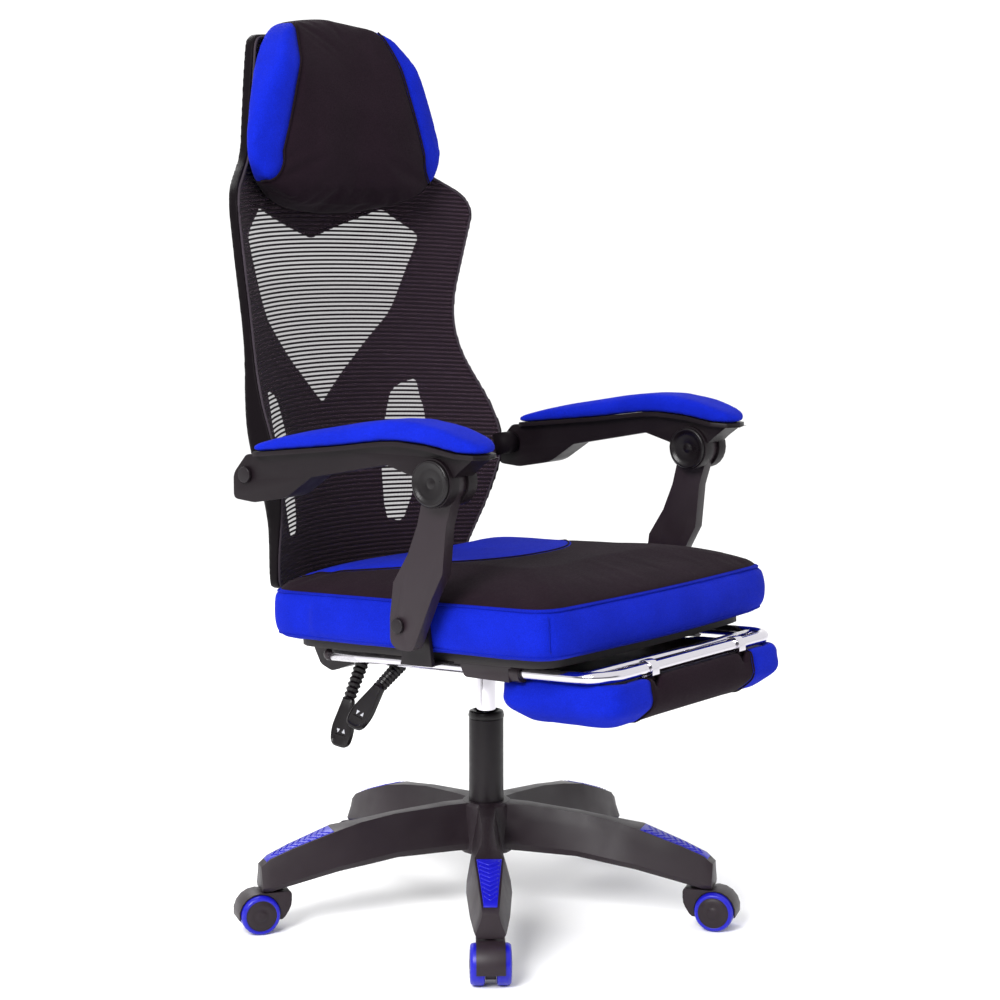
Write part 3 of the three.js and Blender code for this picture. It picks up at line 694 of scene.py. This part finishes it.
def build_seat_cushion(materials):
    cushion = remeshed("seat_cushion", "seat_cushion_cover", 0.0055, materials["seat"])
    local = seat_local(coords(cushion.data))
    edge = np.exp(-((local[:, 2] - SEAT_SEAM) / 0.004) ** 2)
    half = 0.252 + 0.013 * (0.195 - local[:, 1]) / 0.51
    rim = np.maximum(np.abs(local[:, 0]) - half, np.maximum(-0.322 - local[:, 1], local[:, 1] - 0.195))
    at_rim = rim > -0.014
    pinned = np.where(at_rim, edge, 0.0)
    pinned[local[:, 2] < 0.012] = 1.0
    beside_bracket = np.clip(np.abs(local[:, 1] + 0.095) - 0.035, 0, None)
    side_cap = np.where(local[:, 1] < -0.25, 0.009, np.minimum(0.009, 0.0008 + 0.12 * beside_bracket))
    side_cap = np.where(local[:, 1] > 0.10, np.minimum(side_cap, 0.003), side_cap)
    cap = np.where(local[:, 2] > SEAT_SEAM, 0.010, side_cap)
    points = coords(cushion.data)
    top = np.clip((local[:, 2] - SEAT_SEAM) / 0.010, 0, 1)
    crown = np.clip(1 - (local[:, 0] / 0.262) ** 8, 0, 1)
    crown = crown * np.clip(1 - ((local[:, 1] + 0.062) / 0.26) ** 8, 0, 1)
    points[:, 2] += SEAT_CROWN * top * crown
    swell = np.sin(np.pi * np.clip((local[:, 2] - 0.002) / (SEAT_SEAM - 0.004), 0, 1))
    flat_normal = normals(cushion.data) * np.array([1, 1, 0])
    points += flat_normal * (np.minimum(SIDE_SWELL, side_cap) * swell)[:, None]
    set_coords(cushion.data, points)
    inflate(cushion, pinned, cap, pressure=5.0)
    relax(cushion, 3)
    seam = [SEAT_FRAME @ Vector((p.x * MM, p.y * MM, SEAT_SEAM)) for p in seat_outline()]
    seam = nearest_on(cushion, seam)
    groove(cushion, dense(seam, closed=True), 0.0035, 0.0022)
    bottom = [SEAT_FRAME @ Vector((p.x * MM, p.y * MM, 0.006)) for p in seat_outline()]
    bottom = nearest_on(cushion, bottom)
    patch = []
    for a in np.linspace(0, math.pi, 90):
        x = PATCH_HALF * math.copysign(abs(math.cos(a)) ** (2 / PATCH_POWER), math.cos(a))
        patch.append(SEAT_FRAME @ Vector((x, PATCH_REAR - PATCH_LENGTH * math.sin(a), 0.09)))
    patch = on_surface(cushion, patch, (0, 0, -1))
    groove(cushion, dense(patch), 0.0035, 0.0016)
    corners = []
    for side, sign in (("left", -1), ("right", 1)):
        heights = np.linspace(0.008, SEAT_SEAM - 0.004, 14)
        line = [SEAT_FRAME @ Vector((sign * 0.262, -0.312, w)) for w in heights]
        line = nearest_on(cushion, line)
        groove(cushion, dense(line), 0.003, 0.0014)
        corners.append((side, line))
    add_subdivision(cushion)
    finish_piece(cushion, "seat", ["seat_cushion"])
    piping = [sweep(seam, 0.0013, materials["blue_piping"], "seat_piping_top", 10, closed=True),
              sweep(bottom, 0.0015, materials["blue_piping"], "seat_piping_bottom", 10, closed=True)]
    for pipe in piping:
        finish_piece(pipe, "seat")
    sewn_seam(patch, "seat_patch_stitching", materials["piping"], "seat")
    for side, line in corners:
        sewn_seam(line, f"seat_corner_seam_{side}", materials["blue_piping"], "seat", 0.0008)


def nearest_on(obj, points):
    tree = surface_tree(obj)
    return [tree.find_nearest(Vector(p))[0] for p in points]


def dense(line, step=0.003, closed=False):
    points = []
    pairs = list(zip(line, line[1:])) + ([(line[-1], line[0])] if closed else [])
    for a, b in pairs:
        count = max(1, int((Vector(b) - Vector(a)).length / step))
        points += [Vector(a).lerp(Vector(b), k / count) for k in range(count)]
    return points


def sewn_seam(line, name, material, body, radius=0.0011):
    """A thin sewn seam lying in its channel."""
    seam = sweep(line, radius, material, name, 8)
    finish_piece(seam, body)
    return seam


# ---------------------------------------------------------------- back
def spine(z):
    """Depth of the middle of the back behind the column at a height, in millimetres."""
    return 341 - 66 * (max(0.0, 1260 - z) / 820) ** 1.5


def wrap(z):
    """How fast the back curves forward towards its sides at a height."""
    return 0.0015 + 0.00065 * math.exp(-(((z - 625) / 120) ** 2))


def back_place(x, z, offset=0.0):
    """Point of the back surface in the row frame; x, z and offset in millimetres from the column."""
    return column(x, spine(z) - wrap(z) * x * x + offset, z)


def rim_depth(z):
    return 16 + 29 * math.exp(-(((z - 670) / 85) ** 2))


BACK_OUTLINE = [(0, 462), (150, 465, 40), (207, 478, 14), (225, 531, 40), (259, 684, 60), (217, 834, 60),
                (262, 1022, 34), (176, 1080, 26), (134, 1252, 20), (0, 1264)]
SHIELD = [(0, 722, 4), (137, 854, 24), (187, 969, 8), (134, 1008, 6), (0, 964, 6), (-134, 1008, 6),
          (-187, 969, 8), (-137, 854, 24)]
LOWER_WINDOW = [(100, 539, 8), (126, 536, 6), (147, 595, 14), (168, 692, 14), (164, 751, 4), (126, 738, 14),
                (111, 694, 16), (96, 618, 40)]


MESH_DEPTH = -2.4                      # the mesh stands this far in front of the back surface
FRAME_GROWTH = 1.4                     # makes up for what smoothing takes off the frame's edge


def mirror_outline(half):
    left = [(-c[0], *c[1:]) for c in half if c[0] > 0]
    return half + left[::-1]


def outline_table(points):
    """Heights of an outline's right side, and its half width at each."""
    right = sorted([(p.y, p.x) for p in points if p.x >= 0])
    heights = np.array([p[0] for p in right])
    widths = np.array([p[1] for p in right])
    return heights, widths


def flat_slab(outline, holes, front, rear, name):
    """Closed plate between two depths with an outline and holes, in millimetres, y as depth."""
    curve = bpy.data.curves.new(name, "CURVE")
    curve.dimensions = "2D"
    curve.fill_mode = "BOTH"
    curve.extrude = (rear - front) / 2 * MM
    for loop in [outline, *holes]:
        spline = curve.splines.new("POLY")
        spline.points.add(len(loop) - 1)
        spline.use_cyclic_u = True
        for point, place in zip(spline.points, loop):
            point.co = (place.x * MM, place.y * MM, 0, 1)
    obj = bpy.data.objects.new(name, curve)
    bpy.context.scene.collection.objects.link(obj)
    graph = bpy.context.evaluated_depsgraph_get()
    graph.update()
    mesh = bpy.data.meshes.new_from_object(obj.evaluated_get(graph))
    bpy.data.objects.remove(obj)
    points = coords(mesh)
    middle = (rear + front) / 2 * MM
    set_coords(mesh, np.stack([points[:, 0], middle - points[:, 2], points[:, 1]], axis=1))
    solid = bpy.data.objects.new(name, mesh)
    bpy.context.scene.collection.objects.link(solid)
    return solid


def merged(obj):
    bm = bmesh.new()
    bm.from_mesh(obj.data)
    bmesh.ops.remove_doubles(bm, verts=bm.verts, dist=1e-6)
    bmesh.ops.recalc_face_normals(bm, faces=bm.faces)
    bm.to_mesh(obj.data)
    bm.free()


def to_back(obj):
    """Bends a flat slab round the back surface."""
    points = coords(obj.data) / MM
    place = np.array([back_place(x, z, y) for x, y, z in points])
    set_coords(obj.data, place)


def shrunk(points, distance):
    """Outline moved inwards."""
    count = len(points)
    moved = []
    for i, point in enumerate(points):
        along = (points[(i + 1) % count] - points[i - 1])
        if along.length < 1e-9:
            continue
        along.normalize()
        moved.append(point + Vector((-along.y, along.x)) * distance)
    return moved


def build_back_frame(materials):
    outline = rounded(mirror_outline(BACK_OUTLINE), 8)
    lower = rounded(LOWER_WINDOW, 6)
    mirrored = [Vector((-p.x, p.y)) for p in lower][::-1]
    holes = [rounded(SHIELD, 6), lower, mirrored]
    grown = shrunk(outline, -FRAME_GROWTH)
    panel = flat_slab(grown, holes, 3, 9, "panel")
    rim = flat_slab(grown, [shrunk(outline, 15)], -1.4, 16, "rim")
    for piece in (panel, rim):
        merged(piece)
    deep = coords(rim.data) / MM
    rear = deep[:, 1] > 0
    deep[rear, 1] = [rim_depth(z) for z in deep[rear, 2]]
    set_coords(rim.data, deep * MM)
    body = joined("back_frame", [panel, rim])
    body.data.materials.clear()
    body.data.materials.append(materials["shell"])
    mod = body.modifiers.new("voxels", "REMESH")
    mod.mode = "VOXEL"
    mod.voxel_size = 0.0032
    soften = body.modifiers.new("soften", "SMOOTH")
    soften.iterations = 5
    baked(body)
    body.data.materials.clear()
    body.data.materials.append(materials["shell"])
    to_back(body)
    body.data.shade_smooth()
    ears = []
    for side in (-1, 1):
        centre = column(side * 240, 165, 650)
        profile = [(0, 0), (17, 0), (17, 28), (15.5, 32.5), (0, 32.5)]
        ears.append(lathe([(r * MM, h * MM) for r, h in profile], centre, (side, 0, 0), materials["shell"],
                          f"back_ear_{SIDE_NAMES[side]}"))
    finish_piece(body, "back", ["back_shell"])
    for ear in ears:
        finish_piece(ear, "back")
    return outline


def build_back_mesh(materials, outline):
    """Ribbed mesh stretched across the frame, with the ribs as real relief."""
    inner = shrunk(outline, 3.2)
    heights, widths = outline_table(inner)
    low, high = heights.min() + 1, heights.max() - 1
    rib = RIB_PITCH / MM
    rows = int((high - low) / rib * 6)
    columns = 48
    verts, faces, rise = [], [], []
    for i in range(rows + 1):
        z = low + (high - low) * i / rows
        half = float(np.interp(z, heights, widths))
        for j in range(columns + 1):
            x = half * (2 * j / columns - 1)
            sag = z - 12 * (1 - (x / 260) ** 2) * math.sin(math.pi * (z - low) / (high - low))
            phase = (sag - low) / rib
            bump = 0.45 * math.sin(2 * math.pi * phase)
            verts.append(back_place(x, z, MESH_DEPTH - bump))
            rise.append(phase)
    for i in range(rows):
        for j in range(columns):
            a = i * (columns + 1) + j
            faces.append([a, a + 1, a + columns + 2, a + columns + 1])
    cover = make_object("back_mesh_cloth", verts, faces, materials["mesh"])
    attribute = cover.data.attributes.new("rib_height", "FLOAT", "POINT")
    attribute.data.foreach_set("value", rise)
    finish_piece(cover, "back", ["back_mesh"])
    for z in np.arange(low, high, 10.0):
        half = float(np.interp(z, heights, widths))
    line = [back_place(p.x, p.y, MESH_DEPTH) for p in shrunk(outline, 3.0)]
    # The edging's material carries a painted highlight: its colour is lifted paler than the black cloth.
    trim = sweep(line, 0.0019, materials["mesh_edge"], "back_mesh_edging", 8, closed=True)
    finish_piece(trim, "back")


def build_headrest(materials):
    pad = remeshed("headrest", "headrest_cover", 0.0045, materials["headrest"], 18)
    points = coords(pad.data)
    local = points - np.array(COLUMN)
    depth = np.array([spine(z / MM) - wrap(z / MM) * (x / MM) ** 2 - y / MM for x, y, z in local])
    pinned = np.where(depth < 12, 1.0, 0.0)
    seam_x = np.array([headrest_seam(z) for z in local[:, 2]])
    at_seam = np.exp(-((np.abs(local[:, 0]) - seam_x) / 0.005) ** 2)
    pinned = np.maximum(pinned, 0.7 * at_seam)
    inflate(pad, pinned, np.full(len(points), 0.010), pressure=5.0)
    relax(pad, 3)
    seams = []
    for side in (-1, 1):
        straight = np.linspace(PANEL_TOP, FOOT_JOIN_Z, 60)
        line = [column(side * headrest_seam(z) / MM, 0, z / MM) for z in straight]
        line += [column(side * x / MM, 0, panel_foot(x) / MM) for x in np.linspace(*FOOT_SPAN, 40)]
        line = on_surface(pad, line, (0, 1, 0))
        groove(pad, dense(line), 0.004, 0.003)
        seams.append((side, line))
    add_subdivision(pad)
    finish_piece(pad, "back", ["headrest"])
    for side, line in seams:
        sewn_seam(line, f"headrest_seam_{SIDE_NAMES[side]}", materials["piping"], "back", 0.0013)


# ---------------------------------------------------------------- armrests
def build_arm_pads(materials):
    for side in ("left", "right"):
        pad = remeshed(f"arm_pad_{side}", f"arm_pad_cover_{side}", 0.0035, materials["blue_cloth"], 30)
        points = coords(pad.data)
        normal = normals(pad.data)
        pinned = np.where(normal[:, 2] < -0.5, 1.0, 0.0)
        inflate(pad, pinned, np.full(len(points), 0.003), pressure=3.0, frames=10)
        relax(pad, 2)
        add_subdivision(pad)
        finish_piece(pad, f"armrest_{side}", [f"arm_pad_{side}"])


def build_knuckles(materials):
    """Turned caps with a raised rim and a dished centre on both sides of the knuckle."""
    profile = [(0, 1.2), (5, 1.2), (6.5, 0.2), (8, 0.2), (9.5, 1.0), (18, 0.6), (23.5, 1.6), (25.5, 3.6),
               (28.0, 4.0), (29.5, 2.6), (30, 0), (0, 0)]
    for side in ("left", "right"):
        low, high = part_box(f"arm_knuckle_pin_{side}")
        centre = (low + high) / 2
        caps = []
        for direction in (-1, 1):
            face = Vector((centre.x + direction * 27.3 * MM, centre.y, centre.z))
            caps.append(lathe([(r * MM, h * MM) for r, h in reversed(profile)], face, (direction, 0, 0),
                              materials["dark_plastic"], "cap", 56))
        rod = lathe([(0, -0.0272), (0.008, -0.0272), (0.008, 0.0272), (0, 0.0272)], centre, (1, 0, 0),
                    materials["dark_plastic"], "rod", 24)
        knuckle = joined(f"knuckle_caps_{side}", [*caps, rod])
        finish_piece(knuckle, f"armrest_{side}", [f"arm_knuckle_pin_{side}"])


# ---------------------------------------------------------------- footrest
def build_footrest(materials):
    pad = remeshed("footrest_pad", "footrest_pad_cover", 0.005, materials["footrest"], 5)
    local = seat_local(coords(pad.data))
    top = local[:, 2].max()
    pinned = np.where(local[:, 2] > top - 0.006, 1.0, 0.0)
    seam = np.exp(-((np.abs(local[:, 0]) - FOOT_SEAM) / 0.005) ** 2)
    pinned = np.maximum(pinned, 0.8 * seam)
    points = coords(pad.data)
    below = np.clip((top - 0.016 - local[:, 2]) / 0.012, 0, 1)
    set_coords(pad.data, points + normals(pad.data) * (0.005 * below)[:, None])
    inflate(pad, pinned, np.full(len(local), 0.006), pressure=4.0)
    relax(pad, 3)
    low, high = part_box("footrest_pad")
    for side in (-1, 1):
        x = COLUMN.x + side * FOOT_SEAM
        loop = []
        centre = Vector((x, (low.y + high.y) / 2, (low.z + high.z) / 2))
        for angle in np.linspace(0, 2 * math.pi, 80, endpoint=False):
            loop.append(centre + Vector((0, 0.2 * math.cos(angle), 0.06 * math.sin(angle))))
        tree = surface_tree(pad)
        line = []
        for start in loop:
            hit, *_ = tree.ray_cast(start, (centre - start).normalized())
            if hit is not None:
                line.append(hit)
        groove(pad, dense(line, closed=True), 0.004, 0.0028)
        name = f"footrest_seam_{SIDE_NAMES[side]}"
        pipe = sweep(line, 0.0012, materials["piping"], name, 8, closed=True)
        finish_piece(pipe, "footrest")
    add_subdivision(pad)
    finish_piece(pad, "footrest", ["footrest_pad"])


LEG_X = 207
FOOT_FRONT = -351
FOOT_REAR = 113
TUBE_DROP = -24
BEND = 42


def build_footrest_tube(materials):
    x, y = LEG_X, FOOT_FRONT
    angles = np.linspace(0, math.pi / 2, 12)
    arc = [(-x + BEND - BEND * math.cos(a), y + BEND - BEND * math.sin(a)) for a in angles]
    left = [(-x, FOOT_REAR), (-x, 0), (-x, -150), (-x, y + BEND + 2), *arc]
    path = left + [(-px, py) for px, py in reversed(left)]
    line = [SEAT_FRAME @ Vector((px * MM, py * MM, TUBE_DROP * MM)) for px, py in path]
    tube = sweep(line, 0.008, materials["chrome"], "tube", 28)
    ends = [SEAT_FRAME @ Vector((s * x * MM, (y + 36) * MM, TUBE_DROP * MM)) for s in (-1, 1)]
    bar = sweep(ends, 0.006, materials["chrome"], "bar", 20)
    frame_piece = joined("footrest_tube", [tube, bar])
    finish_piece(frame_piece, "footrest_slider", ["footrest_frame"])
    caps = []
    for side in (-1, 1):
        end = SEAT_FRAME @ Vector((side * x * MM, (FOOT_REAR - 4) * MM, TUBE_DROP * MM))
        axis = TILT @ Vector((0, 1, 0))
        profile = [(0, 0.0100), (0.0070, 0.0098), (0.0084, 0.0075), (0.0084, 0.0005), (0.0078, 0)]
        caps.append(lathe(profile, end, axis, materials["plastic"], "cap", 24))
    plugs = joined("footrest_tube_caps", caps)
    finish_piece(plugs, "footrest_slider")


# ---------------------------------------------------------------- levers
def build_lever(name, rod, stem_end, tip, materials):
    """Steel rod, rubber bellows and a rimmed teardrop paddle with a plain pictogram."""
    inner, pivot, outer = (column(*p) for p in rod)
    start, end = column(*stem_end), column(*tip)
    pieces = [sweep([inner, outer], 0.004, materials["steel"], "rod", 14)]
    barrel = [pivot + Vector((0, s * 0.008, 0)) for s in (-1, 1)]
    pieces.append(sweep(barrel, 0.006, materials["steel"], "barrel", 18))
    along = start - outer
    length = along.length
    folds = 8
    profile = [(0, 0)]
    for k in range(folds * 6 + 1):
        t = k / (folds * 6)
        radius = 0.0092 - 0.0012 * t + 0.0011 * math.cos(2 * math.pi * folds * t)
        profile.append((radius, t * length))
    profile.append((0, length))
    pieces.append(lathe(profile[::-1], outer, along.normalized(), materials["dark_plastic"], "bellows", 24))
    paddle_axis = end - start
    reach = paddle_axis.length
    paddle_axis.normalize()
    across = Vector((0, 1, 0))
    across = (across - paddle_axis * across.dot(paddle_axis)).normalized()
    out = across.cross(paddle_axis)
    shape = rounded([(-8, -4, 5), (-20, 0.68 * reach / MM, 14), (-14, reach / MM, 10), (14, reach / MM, 10),
                     (20, 0.68 * reach / MM, 14), (8, -4, 5)], 6)
    rings = [(0.86, -4.2), (0.97, -3.4), (1.0, 0), (0.98, 3.6), (0.90, 4.8), (0.84, 3.4), (0.6, 3.2)]
    verts, faces = [], []
    centre = Vector((0, 0.55 * reach / MM))
    for scale, height in rings:
        for p in shape:
            q = centre + (p - centre) * scale
            verts.append(start + (across * q.x + paddle_axis * q.y + out * height) * MM)
    count = len(shape)
    for i in range(len(rings) - 1):
        for k in range(count):
            a, b = i * count + k, i * count + (k + 1) % count
            faces.append([a, b, b + count, a + count])
    faces.append(list(range(count))[::-1])
    faces.append([(len(rings) - 1) * count + k for k in range(count)])
    pieces.append(make_object("paddle", verts, faces, materials["dark_plastic"]))
    marks = []
    middle = start + (paddle_axis * (0.66 * reach)) + out * 0.0034
    for flip in (-1, 1):
        spot = middle + across * (5 * flip * MM)
        corners = [(0, 3.4 * flip), (2.9, -2.2 * flip), (-2.9, -2.2 * flip)]
        top = [spot + (across * cx + paddle_axis * cy) * MM + out * 0.0004 for cx, cy in corners]
        low = [p - out * 0.001 for p in top]
        faces = [[0, 1, 2], [5, 4, 3], [0, 3, 4, 1], [1, 4, 5, 2], [2, 5, 3, 0]]
        marks.append(make_object("mark", top + low, faces, materials["mark"], smooth=False))
    piece = joined(f"{name}_grip", [*pieces, *marks])
    piece.data.set_sharp_from_angle(angle=math.radians(40))
    finish_piece(piece, name, [name])


# ---------------------------------------------------------------- casters
DISC_RADIUS = 21.7


def build_casters(materials):
    """Wheels with a blue tread ring and a stepped black disc."""
    profile = [(0, 7.9), (4.6, 7.9), (20, 7.9), (25.2, 7.9), (27.2, 9.6), (27.5, 12), (27.5, 21.5),
               (26.6, 24.6), (24.6, 26.6), (22.6, 26.9), (21.6, 26.0), (20.2, 26.0), (18.6, 27.3),
               (12, 27.6), (8, 26.9), (7, 27.7), (3, 28.0), (0, 28.0)]
    colours = [1 if a[0] < DISC_RADIUS and b[0] <= 22 else 0 for a, b in zip(profile, profile[1:])]
    for n in range(1, 6):
        for side in "ab":
            joint = JOINTS[f"wheel_{n}{side}_roll"]
            low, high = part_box(f"caster_wheel_{n}{side}")
            axis = Vector(joint["axis"])
            centre = Vector(joint["pos_m"])
            if ((low + high) / 2 - centre).dot(axis) < 0:
                axis = -axis
            wheel = lathe([(r * MM, h * MM) for r, h in profile], centre, axis, materials["blue"],
                          f"wheel_{n}{side}", 48, colours)
            wheel.data.materials.append(materials["plastic"])
            finish_piece(wheel, f"wheel_{n}{side}", [f"caster_wheel_{n}{side}"])


# ---------------------------------------------------------------- pieces kept from the frame
KEPT = {
    "plastic": ["star_base", "footrest_guide_left", "footrest_guide_right", "footrest_board",
                "arm_post_left", "arm_post_right",
                *[f"caster_hood_{i}" for i in range(1, 6)]],
    "dark_plastic": ["tube_bush"],
    "beam": ["arm_beam_left", "arm_beam_right"],
    "blue": [f"base_trim_{i}" for i in range(1, 6)],
    "steel": ["gas_tube", "valve_button", "mechanism_housing", "rear_support", "arm_bracket_left",
              "arm_bracket_right", "back_hinge", "arm_lower_bolt_left", "arm_lower_bolt_right",
              "arm_rear_bolt_left", "arm_rear_bolt_right", *[f"caster_stem_{i}" for i in range(1, 6)]],
    "chrome": ["gas_cylinder", "recline_pin"],
    "ply": ["seat_board"],
}
BEVELS = {"star_base": 3.5, "arm_post_left": 3, "arm_post_right": 3, "arm_beam_left": 3, "arm_beam_right": 3,
          "mechanism_housing": 2, "rear_support": 1.2, "base_trim": 0.8, "caster_hood": 1.5, "footrest": 1.5,
          "gas": 0.8, "arm_lower": 1, "arm_rear": 1}


def dress_kept_nodes(materials):
    for look, names in KEPT.items():
        for name in names:
            node = frame["nodes"][name]
            node.data.materials.clear()
            node.data.materials.append(materials[look])
            node.data.polygons.foreach_set("material_index", [0] * len(node.data.polygons))
            width = next((w for key, w in BEVELS.items() if name.startswith(key)), 0.6)
            weld = node.modifiers.new("weld", "WELD")
            weld.merge_threshold = 1e-5
            bevel = node.modifiers.new("worn_edges", "BEVEL")
            bevel.width = width * MM
            bevel.segments = 3
            bevel.limit_method = "ANGLE"
            bevel.angle_limit = math.radians(32)
            bevel.harden_normals = False
            smooth_by_angle(node)


TRIM_START = 231
TRIM_END = 326
TRIM_HEIGHTS = [(228, 142), (290, 121), (321, 108.5), (334, 98)]


def build_trim_chevrons(materials):
    """Raised arrow ribs along the coloured top of each arm of the base."""
    for n in range(1, 6):
        swivel = Vector(JOINTS[f"caster_{n}_swivel"]["pos_m"])
        outward = Vector((swivel.x - COLUMN.x, swivel.y - COLUMN.y, 0)).normalized()
        across = Vector((-outward.y, outward.x, 0))
        ribs = []
        for start in np.arange(TRIM_START + 6, TRIM_END - 16, 9.0):
            line = []
            for share in np.linspace(-1, 1, 9):
                reach = start + 8 * (1 - abs(share))
                half = 17 - 8 * (reach - TRIM_START) / (TRIM_END - TRIM_START) - 2.2
                height = float(np.interp(reach, *zip(*TRIM_HEIGHTS))) + 0.9
                place = COLUMN + (outward * reach + across * (share * half)) * MM
                line.append(place + Vector((0, 0, height * MM)))
            ribs.append(sweep(line, 0.0013, materials["blue"], "rib", 8, flat=0.75))
        piece = joined(f"trim_chevrons_{n}", ribs)
        finish_piece(piece, "base")


CLIP_X = 0.105
CLIP_REACH = 0.0095


def chrome_clips(node, chrome):
    """The two clips that hold the footrest board round the tube are bright metal."""
    node.data.materials.append(chrome)
    turn = SEAT_FRAME.inverted()
    for face in node.data.polygons:
        centre = turn @ (node.matrix_world @ face.center)
        off_clip = abs(abs(centre.x) - CLIP_X)
        if off_clip < CLIP_REACH and centre.z > (TUBE_DROP - 11) * MM:
            face.material_index = 1


def smooth_by_angle(obj, degrees=38):
    obj.data.shade_smooth()
    obj.data.set_sharp_from_angle(angle=math.radians(degrees))


def main():
    materials = build_materials()
    # The mesh edging is its own dark grey lifted paler: partly real colour, partly a painted highlight
    # standing in for the light line along the frame's inner edge.
    materials["mesh_edge"] = cloth("mesh_edging", (0.040, 0.032, 0.040), pitch=0.001)
    build_camera()
    build_stage()
    dress_kept_nodes(materials)
    build_seat_cushion(materials)
    outline = build_back_frame(materials)
    build_back_mesh(materials, outline)
    build_headrest(materials)
    build_arm_pads(materials)
    build_knuckles(materials)
    build_footrest(materials)
    build_footrest_tube(materials)
    build_lever("height_lever", [(6, 0, 386), (-30, 4, 386), (-166, 20, 383)], (-211, 19, 359),
                (-247, 36, 307), materials)
    build_lever("recline_lever", [(-12, 64, 385), (-30, 66, 385), (-168, 86, 382)], (-200, 84, 332),
                (-214, 90, 267), materials)
    build_casters(materials)
    build_trim_chevrons(materials)
    chrome_clips(frame["nodes"]["footrest_board"], materials["chrome"])


main()
